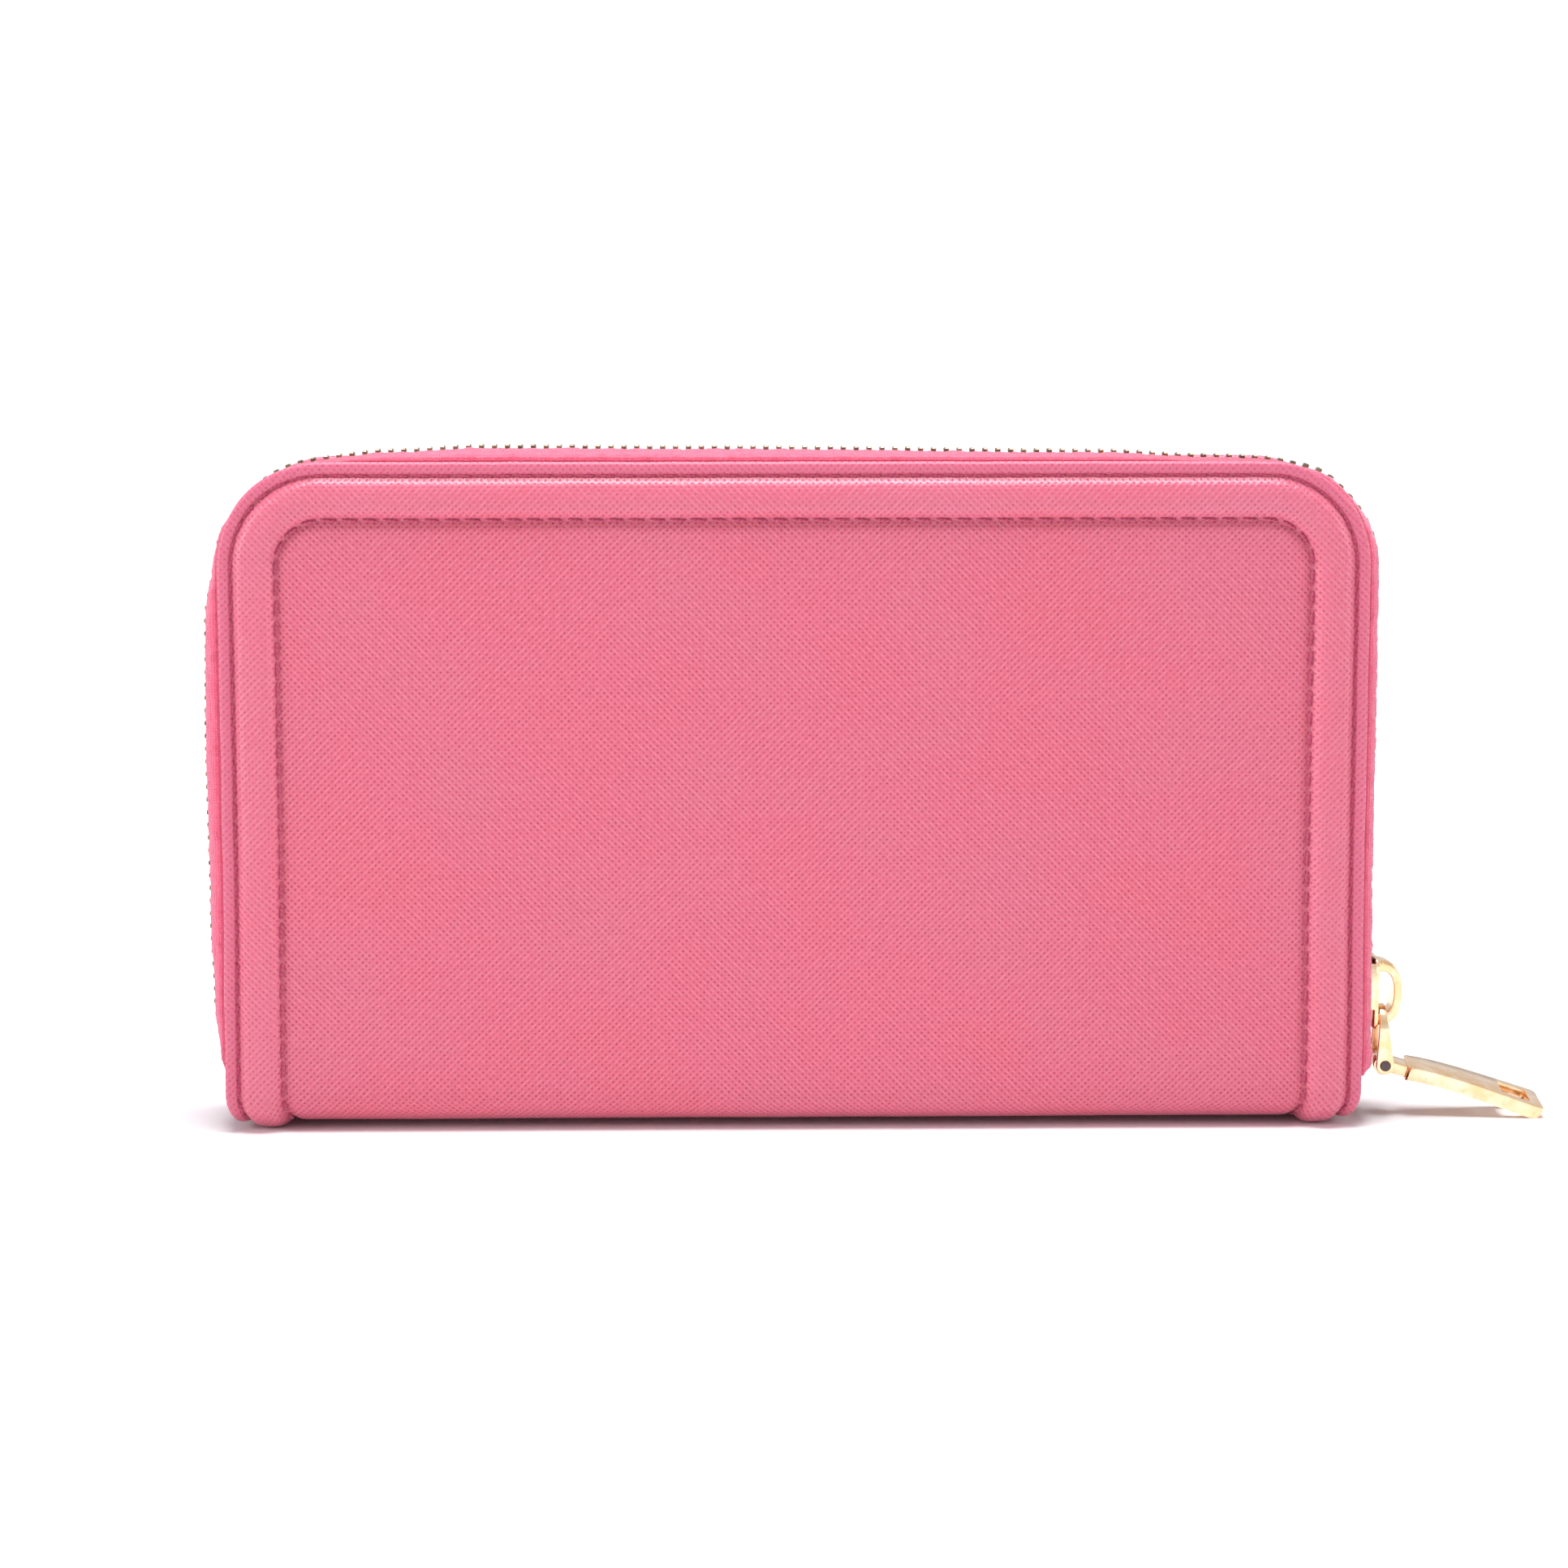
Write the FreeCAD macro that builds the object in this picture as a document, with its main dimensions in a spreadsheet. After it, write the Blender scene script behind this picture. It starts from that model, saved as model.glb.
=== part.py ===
import FreeCAD, Part
import math
import os
import re

import Sketcher

# A zip-around long wallet that stands on its spine with the zip closed.
# Frame: origin at the centre of the spine leather's flat underside, +Z up, +X towards the zip
# slider, -Y out of the back cover. Millimetres. The spine's edge rolls stand a little lower than
# the leather between them, so they are the wallet's two feet.
# Each cover is a stack of layers. A layer is named by its distance from the middle plane Y = 0.
# An outline is named by its inset from the cover's outer edge.

Vector = FreeCAD.Vector
Rotation = FreeCAD.Rotation
Placement = FreeCAD.Placement
Rule = Sketcher.Constraint

driving = {
    # cover outline
    "halfWidth": 91.3,
    "topHeight": 107.1,
    "cornerRadius": 16.5,
    "seamHeight": 7.2,       # lower edge of everything that turns with a cover
    "hingeHeight": 7.0,      # upper edge of everything that stays with the spine
    "overrun": 1.0,          # how far a cutting outline runs past the piece it opens
    # layers, as distances from the middle plane
    "rollFace": 12.5,
    "bindingFace": 11.6,
    "bandFace": 11.4,
    "leatherFace": 11.3,
    "coreFace": 11.6,
    "coreClearance": 0.1,
    "coreSpaceFace": 11.7,
    "leatherBack": 10.2,
    "bindingBack": 9.6,
    "boardBack": 9.5,
    "liningBack": 9.1,
    "cardThick": 0.5,
    "threadThick": 0.3,
    # outlines, as insets from the outer edge (outsets lie beyond it)
    "bindingInset": 2.1,
    "bandInset": 2.2,
    "boardInset": 2.6,
    "rollInset": 4.1,
    "coreSpaceInset": 4.9,
    "coreInset": 5.0,
    "flangeInset": 5.8,
    "liningInset": 6.0,
    "coreEndInset": 9.1,
    "rollEndInset": 9.2,
    "panelInset": 10.0,
    "innerSeamInset": 9.85,
    "outerSeamInset": 2.7,
    "tapeOutset": 1.6,
    "tapeBackOutset": 1.0,
    "teethOutset": 2.7,
    "teethBackOutset": 1.1,
    # spine
    "footDrop": 1.2,
    "spineRadius": 6.0,
    "spineLift": 0.1,
    "spineBindingHalf": 90.9,
    "spineLiningThick": 0.5,
    # card leaves and gussets
    "cardHalf": 84.0,
    "cardFoot": 7.6,
    "upperCardTop": 92.0,
    "middleCardTop": 78.0,
    "lowerCardTop": 64.0,
    "gussetFold": 68.0,
    "gussetReach": 18.0,
    "gussetNear": 2.9,
    "gussetFar": 7.3,
    "gussetThick": 0.5,
    "gussetRadius": 1.2,
    "gussetFoot": 8.0,
    "gussetRise": 84.0,
    # coin pocket
    "coinHalf": 86.0,
    "coinIn": 2.2,
    "coinOut": 2.9,
    "coinFoot": 1.6,
    "coinTop": 86.0,
    "coinStripWidth": 2.0,
    "coinTapeHalf": 80.0,
    "coinTapeIn": 1.6,
    "coinTapeFoot": 80.0,
    "coinTapeTop": 91.2,
    # main zip
    "chainGap": 0.8,         # a tape's edge from the middle plane
    "chainReach": 0.5,       # how far a tooth reaches past the middle plane
    "toothPitch": 2.08,
    "toothWidth": 0.9,
    "chainFoot": 9.6,        # lowest tooth on the start side
    "chainTail": 19.4,       # lowest tooth on the slider side
    "stopOutset": 2.0,
    "stopGap": 0.15,         # an end stop from the middle plane
    "startStopFoot": 7.4,
    "startStopHead": 8.8,
    "endStopHead": 12.8,
    "stitchPitch": 3.25,
    "stitchLength": 2.3,
    "stitchWidth": 0.5,
    "stitchSunk": 0.1,       # the thread lies this far below the leather beside it
    # slider
    "plateFace": 94.8,
    "plateThick": 0.7,
    "innerPlateOut": 92.0,
    "innerPlateIn": 91.4,
    "sliderHalf": 4.0,
    "sliderFoot": 13.4,
    "sliderHead": 25.4,
    "flangeWidth": 0.6,
    "postHalf": 0.6,
    "postFoot": 14.4,
    "postHead": 17.4,
    "bridgeOut": 100.1,
    "bridgeIn": 98.8,
    "bridgeRoot": 94.4,
    "bridgeMiddle": 19.45,
    "bridgeHalf": 5.45,
    "eyeMiddle": 19.3,
    "eyeHalf": 3.5,
    "bridgeRadius": 3.0,
    "eyeRadius": 1.7,
    "bridgeWide": 4.6,
    # zip pull
    "pullX": 97.3,           # the link's bar and the pin hang in one vertical line
    "barZ": 16.7,
    "barRadius": 0.7,
    "pinZ": 7.5,
    "pinRadius": 0.9,
    "pinHalf": 3.85,
    "legIn": 2.65,
    "legOut": 3.65,
    "legHalf": 1.0,
    "legEnd": 1.5,
    "boreRadius": 0.96,
    "barrelRadius": 1.6,
    "neckHalf": 2.2,
    "neckLength": 3.9,
    "shoulderHalf": 3.5,
    "tipHalf": 5.0,
    "tabLength": 27.2,
    "tabThick": 2.2,
    "tipRadius": 1.5,
    "windowStart": 20.1,
    "windowLength": 5.0,
    "windowHalf": 2.75,
    # coin zip slider and its pull
    "coinToothPitch": 2.4,
    "coinToothWidth": 1.0,
    "coinToothFoot": 89.8,
    "coinToothReach": 0.4,
    "coinChainHalf": 76.0,
    "coinChainTail": 74.4,
    "coinStopStart": 77.0,
    "coinStopLength": 2.0,
    "coinSliderIn": 69.0,
    "coinSliderOut": 77.0,
    "coinPlateHalf": 2.9,
    "coinPlateFoot": 91.6,
    "coinPlateTop": 92.3,
    "coinLowerHalf": 1.4,
    "coinLowerFoot": 87.6,
    "coinLowerTop": 88.2,
    "coinFlangeIn": 2.4,
    "coinFlangeFoot": 90.8,
    "coinPostIn": 75.4,
    "coinPostOut": 76.6,
    "lugIn": 71.6,
    "lugOut": 73.6,
    "lugHalf": 0.6,
    "lugTop": 94.4,
    "coinPinX": 72.6,
    "coinPinZ": 93.5,
    "coinBoreRadius": 0.5,
    "coinPinRadius": 0.44,
    "coinArmIn": 0.8,
    "coinArmOut": 1.6,
    "coinArmLap": 0.2,       # how far the arms run into the pull's plate
    "coinPullHalf": 2.2,
    "coinPullThick": 0.8,
    "coinPullStart": 74.8,
    "coinPullEnd": 84.0,
}

tabSlope = 16.2              # degrees below level, so that the tab's tip lies where the feet stand
toothPhase = {"back": 0.25, "front": 0.75}   # first tooth, in pitches from the row's foot
stitchPhase = 0.6

doc = FreeCAD.newDocument("ZipAroundWallet")
sheet = doc.addObject("Spreadsheet::Sheet", "Sizes")
for line, (alias, value) in enumerate(driving.items(), start=1):
    sheet.set(f"A{line}", alias)
    sheet.set(f"B{line}", str(value))
    sheet.setAlias(f"B{line}", alias)
doc.recompute()

nodes = {}


def bind(thing, prop, formula):
    """Ties a property to a formula of the sheet's words, such as halfWidth - rollInset."""
    text = re.sub(r"[A-Za-z]\w*", lambda word: f"Sizes.{word.group()}", formula)
    thing.setExpression(prop, text)


def keep(name, thing):
    thing.Label = name
    nodes[name] = thing
    return thing


def size(alias):
    return float(sheet.get(alias))


# ---- sketches and bodies ----

def originPlane(body, role):
    return next(plane for plane in body.Origin.OriginFeatures if plane.Role == role)


def newSketch(body, role, at, turn=0.0):
    """A sketch on one of the body's own planes, moved by three formulas and turned in its plane."""
    sketch = body.newObject("Sketcher::SketchObject", "Outline")
    sketch.AttachmentSupport = [(originPlane(body, role), "")]
    sketch.MapMode = "FlatFace"
    sketch.AttachmentOffset = Placement(Vector(), Rotation(Vector(0, 0, 1), turn))
    for axis, formula in zip("xyz", at):
        bind(sketch, f"AttachmentOffset.Base.{axis}", formula)
    return sketch


def measure(sketch, **formulas):
    """Adds lengths to the sketch, each tied to the sheet, and returns their values."""
    for name, formula in formulas.items():
        sketch.addProperty("App::PropertyLength", name)
        bind(sketch, name, formula)
    doc.recompute()
    return [float(getattr(sketch, name).Value) for name in formulas]


def dimension(sketch, name, rule, formula):
    index = sketch.addConstraint(rule)
    sketch.renameConstraint(index, name)
    sketch.setExpression(f"Constraints.{name}", formula)


def roundedOutline(body, role, at, half, height, radius, turn=0.0):
    """A rectangle with two round corners. The middle of its round end lies at the given place."""
    sketch = newSketch(body, role, at, turn)
    w, tall, r = measure(sketch, HalfSpan=half, Tall=height, Bend=radius)
    up = Vector(0, 0, 1)
    sketch.addGeometry([
        Part.LineSegment(Vector(-w, -tall, 0), Vector(-w, -r, 0)),
        Part.ArcOfCircle(Part.Circle(Vector(r - w, -r, 0), up, r), math.pi / 2, math.pi),
        Part.LineSegment(Vector(r - w, 0, 0), Vector(w - r, 0, 0)),
        Part.ArcOfCircle(Part.Circle(Vector(w - r, -r, 0), up, r), 0, math.pi / 2),
        Part.LineSegment(Vector(w, -r, 0), Vector(w, -tall, 0)),
        Part.LineSegment(Vector(w, -tall, 0), Vector(-w, -tall, 0)),
    ], False)
    sketch.addConstraint([
        Rule("Tangent", 0, 2, 1, 2), Rule("Tangent", 2, 1, 1, 1),
        Rule("Tangent", 2, 2, 3, 2), Rule("Tangent", 4, 1, 3, 1),
        Rule("Coincident", 4, 2, 5, 1), Rule("Coincident", 5, 2, 0, 1),
        Rule("Vertical", 0), Rule("Vertical", 4), Rule("Horizontal", 2),
        Rule("Symmetric", 5, 1, 5, 2, -2), Rule("PointOnObject", 2, 1, -1), Rule("Equal", 1, 3),
    ])
    dimension(sketch, "span", Rule("Distance", 5, 2 * w), "2 * HalfSpan")
    dimension(sketch, "tall", Rule("DistanceY", 0, 1, 2, 1, tall), "Tall")
    dimension(sketch, "bend", Rule("Radius", 1, r), "Bend")
    return sketch


def taperedOutline(body, role, at, length, startHalf, endHalf):
    """A straight-sided blade, symmetrical about the sketch's own X axis, from the given place."""
    sketch = newSketch(body, role, at)
    reach, near, far = measure(sketch, Reach=length, NearHalf=startHalf, FarHalf=endHalf)
    corners = [Vector(0, -near, 0), Vector(reach, -far, 0), Vector(reach, far, 0), Vector(0, near, 0)]
    sketch.addGeometry([Part.LineSegment(corners[i], corners[(i + 1) % 4]) for i in range(4)], False)
    sketch.addConstraint([Rule("Coincident", i, 2, (i + 1) % 4, 1) for i in range(4)])
    sketch.addConstraint([
        Rule("Symmetric", 1, 1, 1, 2, -1), Rule("Symmetric", 3, 1, 3, 2, -1),
        Rule("PointOnObject", 3, 1, -2),
    ])
    dimension(sketch, "reach", Rule("DistanceX", 3, 2, 1, 1, reach), "Reach")
    dimension(sketch, "near", Rule("Distance", 3, 2 * near), "2 * NearHalf")
    dimension(sketch, "far", Rule("Distance", 1, 2 * far), "2 * FarHalf")
    return sketch


def circleOutline(body, role, radius):
    sketch = newSketch(body, role, ("0", "0", "0"))
    (r,) = measure(sketch, Bend=radius)
    sketch.addGeometry(Part.Circle(Vector(), Vector(0, 0, 1), r), False)
    sketch.addConstraint(Rule("Coincident", 0, 3, -1, 1))
    dimension(sketch, "bend", Rule("Radius", 0, r), "Bend")
    return sketch


def newBody(name):
    return keep(name, doc.addObject("PartDesign::Body", "Body"))


def pad(body, sketch, length, middle=False):
    feature = body.newObject("PartDesign::Pad", "Pad")
    feature.Profile = sketch
    feature.SideType = "Symmetric" if middle else "One side"
    bind(feature, "Length", length)
    doc.recompute()
    return feature


def pocket(body, sketch, length=None):
    """Cuts the sketch out of the body: right through, or for a length along the sketch's normal."""
    before = body.Shape.Volume
    feature = body.newObject("PartDesign::Pocket", "Pocket")
    feature.Profile = sketch
    if length is None:
        feature.SideType = "Symmetric"
        feature.Type = "ThroughAll"
    else:
        feature.Reversed = True
        bind(feature, "Length", length)
    doc.recompute()
    if body.Shape.Volume > before - 1e-6:
        raise RuntimeError(f"{body.Label}: a pocket removed nothing")
    return feature


# ---- cover pieces, made on the back and turned half round for the front ----

def coverOutline(body, depth, inset, drop="0"):
    return roundedOutline(
        body, "XZ_Plane", ("0", f"topHeight - ({inset})", depth),
        f"halfWidth - ({inset})", f"topHeight - ({inset}) - seamHeight + {drop}",
        f"cornerRadius - ({inset})")


def sheetPiece(name, depth, face, inset):
    """A flat layer of a cover, from one distance to another off the middle plane."""
    body = newBody(name)
    pad(body, coverOutline(body, depth, inset), f"{face} - {depth}")
    return body


def openInside(body, depth, inset):
    pocket(body, coverOutline(body, depth, inset, "overrun"))


def bandPiece(name, depth, face, inset, endInset):
    """A strip that follows the cover's edge up one side, over the top and down the other."""
    body = sheetPiece(name, depth, face, inset)
    openInside(body, depth, endInset)
    return body


def borderPiece(name):
    """The border strip: a flat band outside, and a roll that stands proud over its filler."""
    body = newBody(name)
    pad(body, coverOutline(body, "leatherBack", "bandInset"), "bandFace - leatherBack")
    pad(body, coverOutline(body, "bandFace", "rollInset"), "rollFace - bandFace")
    openInside(body, "leatherBack", "rollEndInset")
    space = coverOutline(body, "leatherBack", "coreSpaceInset", "overrun")
    pocket(body, space, "coreSpaceFace - leatherBack")
    return body


def tapePiece(name):
    """A zip tape: sewn in flat under the binding, then turned square towards the chain."""
    body = newBody(name)
    pad(body, coverOutline(body, "chainGap", "-tapeOutset"), "liningBack - chainGap")
    openInside(body, "chainGap", "-tapeBackOutset")
    pad(body, coverOutline(body, "liningBack", "-tapeOutset"), "boardBack - liningBack")
    openInside(body, "liningBack", "flangeInset")
    return body


# ---- pieces that follow the spine's channel ----

def channelOutline(body, start, half, floor, radius, drop="0"):
    return roundedOutline(
        body, "YZ_Plane", ("0", floor, start), half, f"hingeHeight - ({floor}) + {drop}",
        radius, turn=180.0)


def channelPiece(name, start, length, half, floor, radius, thick):
    body = newBody(name)
    pad(body, channelOutline(body, start, half, floor, radius), length)
    inner = channelOutline(body, start, f"{half} - ({thick})", f"{floor} + {thick}",
                           f"{radius} - ({thick})", "overrun")
    pocket(body, inner)
    return body


# ---- blocks and rods ----

def block(x, y, z):
    """A box between two formulas on each axis."""
    box = doc.addObject("Part::Box", "Block")
    for prop, axis, (low, high) in zip(("Length", "Width", "Height"), "xyz", (x, y, z)):
        bind(box, prop, f"({high}) - ({low})")
        bind(box, f"Placement.Base.{axis}", low)
    return box


def rod(radius, x, y, z):
    """A cylinder along Y between two formulas."""
    low, high = y
    cylinder = doc.addObject("Part::Cylinder", "Rod")
    cylinder.Placement = Placement(Vector(), Rotation(Vector(1, 0, 0), -90))
    bind(cylinder, "Radius", radius)
    bind(cylinder, "Height", f"({high}) - ({low})")
    for axis, formula in zip("xyz", (x, low, z)):
        bind(cylinder, f"Placement.Base.{axis}", formula)
    return cylinder


def fuse(things):
    union = doc.addObject("Part::MultiFuse", "Fusion")
    union.Shapes = things
    return union


def cut(base, tool):
    result = doc.addObject("Part::Cut", "Cut")
    result.Base = base
    result.Tool = tool
    return result


def group(things):
    compound = doc.addObject("Part::Compound", "Group")
    compound.Links = things
    return compound


def both(formula):
    return f"-({formula})", formula


def layer(side, near, far):
    """The Y range of a layer on the back (negative) or front (positive) side."""
    return (f"-({far})", f"-({near})") if side == "back" else (near, far)


# ---- rows of teeth and stitches ----

def walk(half, radius, leftEnd, rightEnd, pitch, phase, along):
    """Evenly spaced places round an arch: across, down from its crown, and the outward angle.

    A brick of length along that is centred on the last place still ends within the arch.
    """
    left = leftEnd - radius
    bend = radius * math.pi / 2
    crown = 2 * (half - radius)
    right = rightEnd - radius
    places = []
    total = left + crown + right + 2 * bend
    for number in range(int((total - along / 2 - phase * pitch) / pitch) + 1):
        run = (number + phase) * pitch
        if run < left:
            places.append((-half, leftEnd - run, math.pi))
            continue
        run -= left
        if run < bend:
            angle = math.pi - run / radius
            places.append((-(half - radius) + radius * math.cos(angle),
                           radius - radius * math.sin(angle), angle))
            continue
        run -= bend
        if run < crown:
            places.append((run - crown / 2, 0.0, math.pi / 2))
            continue
        run -= crown
        if run < bend:
            angle = math.pi / 2 - run / radius
            places.append((half - radius + radius * math.cos(angle),
                           radius - radius * math.sin(angle), angle))
            continue
        places.append((half, radius + run - bend, 0.0))
    return places


def makeRow(name, bricks):
    row = keep(name, doc.addObject("Part::Feature", "Row"))
    row.Shape = Part.makeCompound(bricks)
    row.Placement = Placement()


def coverRow(name, inset, out, across, along, pitch, phase, feet):
    """A row round a cover's edge. Each brick runs out from the inset, and across in Y."""
    half = size("halfWidth") - inset
    crown = size("topHeight") - inset
    radius = size("cornerRadius") - inset
    bricks = []
    for u, v, angle in walk(half, radius, crown - feet[0], crown - feet[1], pitch, phase,
                            along):
        brick = Part.makeBox(out, across[1] - across[0], along, Vector(0, across[0], -along / 2))
        brick.Placement = Placement(Vector(u, 0, crown - v),
                                    Rotation(Vector(0, 1, 0), -math.degrees(angle)))
        bricks.append(brick)
    makeRow(name, bricks)


def spineStitches(name):
    sunk, thick, width = size("stitchSunk"), size("threadThick"), size("stitchWidth")
    along, pitch = size("stitchLength"), size("stitchPitch")
    half, radius = size("leatherFace") - sunk - thick, size("spineRadius") - sunk - thick
    top = size("hingeHeight") - sunk - thick
    offset = size("halfWidth") - size("innerSeamInset") + width / 2
    bricks = []
    for x in (-offset, offset):
        for u, v, angle in walk(half, radius, top, top, pitch, stitchPhase, along):
            brick = Part.makeBox(width, thick, along, Vector(-width / 2, 0, -along / 2))
            brick.Placement = Placement(Vector(x, u, v + sunk + thick),
                                        Rotation(Vector(1, 0, 0), -math.degrees(angle)))
            bricks.append(brick)
    makeRow(name, bricks)


# ---- the spine ----

spineHalf = "halfWidth - panelInset"
channelPiece("spine_leather", f"-({spineHalf})", f"2 * ({spineHalf})", "leatherFace", "0",
             "spineRadius", "leatherFace - leatherBack")
channelPiece("spine_lining", f"-({spineHalf})", f"2 * ({spineHalf})", "leatherBack",
             "leatherFace - leatherBack", "spineRadius - leatherFace + leatherBack",
             "spineLiningThick")
spineStitches("spine_stitching")

rollStarts = {"left": "rollInset - halfWidth", "right": "halfWidth - rollEndInset"}
coreStarts = {"left": "coreInset - halfWidth", "right": "halfWidth - coreEndInset"}
spaceStarts = {"left": "coreSpaceInset - halfWidth", "right": "halfWidth - rollEndInset"}
bindingStarts = {"left": "-spineBindingHalf", "right": "halfWidth - rollInset + spineLift"}
for hand in ("left", "right"):
    roll = channelPiece(f"{hand}_spine_roll", rollStarts[hand], "rollEndInset - rollInset",
                        "rollFace", "-footDrop", "spineRadius + footDrop", "rollFace - leatherBack")
    space = channelOutline(roll, spaceStarts[hand], "coreSpaceFace", "leatherFace - coreSpaceFace",
                           "spineRadius + coreSpaceFace - leatherFace", "overrun")
    pocket(roll, space, "rollEndInset - coreSpaceInset")
    channelPiece(f"{hand}_spine_core", coreStarts[hand], "coreEndInset - coreInset",
                 "coreFace", "leatherFace - coreFace", "spineRadius + coreFace - leatherFace",
                 "coreFace - leatherBack - coreClearance")
    channelPiece(f"{hand}_spine_binding", bindingStarts[hand],
                 "spineBindingHalf - halfWidth + rollInset - spineLift",
                 "bandFace", "spineLift", "spineRadius", "bandFace - leatherBack")

# ---- the coin pocket and its zip ----

coinSpan = both("coinHalf")
tapeSpan = both("coinTapeHalf")
for side, word in (("back", "rear"), ("front", "front")):
    keep(f"coin_{word}_wall",
         block(coinSpan, layer(side, "coinIn", "coinOut"), ("coinFoot", "coinTop")))
    keep(f"coin_{word}_tape",
         block(tapeSpan, layer(side, "coinTapeIn", "coinIn"), ("coinTapeFoot", "coinTapeTop")))
    inward = 1 if side == "back" else -1
    teeth = []
    start = -size("coinChainHalf") + (0 if side == "back" else size("coinToothPitch") / 2)
    reach = sorted((-inward * size("coinTapeIn"), inward * size("coinToothReach")))
    while start + size("coinToothWidth") < size("coinChainTail"):
        corner = Vector(start, reach[0], size("coinToothFoot"))
        teeth.append(Part.makeBox(size("coinToothWidth"), reach[1] - reach[0],
                                  size("coinTapeTop") - size("coinToothFoot"), corner))
        start += size("coinToothPitch")
    makeRow(f"coin_{word}_teeth", teeth)
keep("coin_side_strips", group([
    block(("-coinHalf", "coinStripWidth - coinHalf"), both("coinIn"), ("coinFoot", "coinTapeFoot")),
    block(("coinHalf - coinStripWidth", "coinHalf"), both("coinIn"), ("coinFoot", "coinTapeFoot"))]))
keep("coin_zip_stops", group([
    block(("-coinTapeHalf", "-coinStopStart"), both("coinTapeIn"), ("coinToothFoot", "coinTapeTop")),
    block(("coinTapeHalf - coinStopLength", "coinTapeHalf"), both("coinTapeIn"), ("coinToothFoot", "coinTapeTop"))]))

# ---- the gussets between the coin pocket and the covers ----

for side, sign in (("back", "-"), ("front", "")):
    for hand, outward in (("left", "-"), ("right", "")):
        gusset = newBody(f"{side}_{hand}_gusset")
        turn = 90.0 if hand == "right" else -90.0
        middle = f"{sign}(gussetNear + gussetFar) / 2"
        halfGap = "(gussetFar - gussetNear) / 2"
        pad(gusset, roundedOutline(gusset, "XY_Plane", (f"{outward}gussetFold", middle, "gussetFoot"),
                                   halfGap, "gussetReach", "gussetRadius", turn), "gussetRise")
        inside = roundedOutline(
            gusset, "XY_Plane", (f"{outward}(gussetFold + gussetThick)", middle, "gussetFoot"),
            f"{halfGap} - gussetThick", "gussetReach", "gussetRadius - gussetThick", turn)
        pocket(gusset, inside)

# ---- the two covers ----

tooth = (size("teethOutset") - size("teethBackOutset"), size("toothWidth"))
stitch = (size("stitchWidth"), size("stitchLength"))
for side in ("back", "front"):
    turned = [
        sheetPiece(f"{side}_panel_leather", "leatherBack", "leatherFace", "panelInset"),
        borderPiece(f"{side}_border_leather"),
        bandPiece(f"{side}_roll_core", "leatherBack", "coreFace", "coreInset", "coreEndInset"),
        bandPiece(f"{side}_edge_binding", "bindingBack", "bindingFace", "0", "bindingInset"),
        sheetPiece(f"{side}_stiffener", "boardBack", "leatherBack", "boardInset"),
        sheetPiece(f"{side}_lining", "liningBack", "boardBack", "liningInset"),
        tapePiece(f"{side}_zip_tape"),
    ]
    if side == "front":
        for piece in turned:
            piece.Placement = Placement(Vector(), Rotation(Vector(0, 0, 1), 180))

    for number, leaf in enumerate(("upper", "middle", "lower"), start=1):
        keep(f"{side}_{leaf}_card_leaf", block(
            both("cardHalf"),
            layer(side, f"liningBack - {number} * cardThick", f"liningBack - {number - 1} * cardThick"),
            ("cardFoot", f"{leaf}CardTop")))

    inward = 1 if side == "back" else -1
    across = sorted((-inward * size("chainGap"), inward * size("chainReach")))
    coverRow(f"{side}_zip_teeth", -size("teethBackOutset"), tooth[0], across, tooth[1],
             size("toothPitch"), toothPhase[side], (size("chainFoot"), size("chainTail")))
    sunkFace = size("leatherFace") - size("stitchSunk") - size("threadThick")
    for seam, low in (("inner", sunkFace), ("outer", size("bandFace"))):
        across = sorted((-inward * low, -inward * (low + size("threadThick"))))
        coverRow(f"{side}_{seam}_stitching", size(f"{seam}SeamInset"), stitch[0], across, stitch[1],
                 size("stitchPitch"), stitchPhase, (size("seamHeight"), size("seamHeight")))
    stopY = layer(side, "stopGap", "chainGap")
    stopX = "halfWidth + teethBackOutset", "halfWidth + stopOutset"
    keep(f"{side}_zip_stops", group([
        block((f"-({stopX[1]})", f"-({stopX[0]})"), stopY, ("startStopFoot", "startStopHead")),
        block(stopX, stopY, ("chainFoot", "endStopHead"))]))

# ---- the slider: two plates, a post between them, edge flanges and the D-shaped bridge ----

bridge = doc.addObject("PartDesign::Body", "Bridge")
pad(bridge, roundedOutline(bridge, "XZ_Plane", ("bridgeOut", "bridgeMiddle", "0"), "bridgeHalf",
                           "bridgeOut - bridgeRoot", "bridgeRadius", turn=-90.0),
    "bridgeWide", middle=True)
pocket(bridge, roundedOutline(bridge, "XZ_Plane", ("bridgeIn", "eyeMiddle", "0"), "eyeHalf",
                              "bridgeIn - plateFace", "eyeRadius", turn=-90.0))
plateZ = "sliderFoot", "sliderHead"
outerPlate = "plateFace - plateThick", "plateFace"
flangeX = "plateFace - plateThick - flangeWidth", "plateFace - plateThick"
keep("slider_body", fuse([
    block(outerPlate, both("sliderHalf"), plateZ),
    block(("innerPlateIn", "innerPlateOut"), both("sliderHalf"), plateZ),
    block(("innerPlateOut", "plateFace - plateThick"), both("postHalf"), ("postFoot", "postHead")),
    block(flangeX, ("-sliderHalf", "flangeWidth - sliderHalf"), plateZ),
    block(flangeX, ("sliderHalf - flangeWidth", "sliderHalf"), plateZ),
    bridge]))

# ---- the zip pull: stirrup link, cross pin and tab ----

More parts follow.
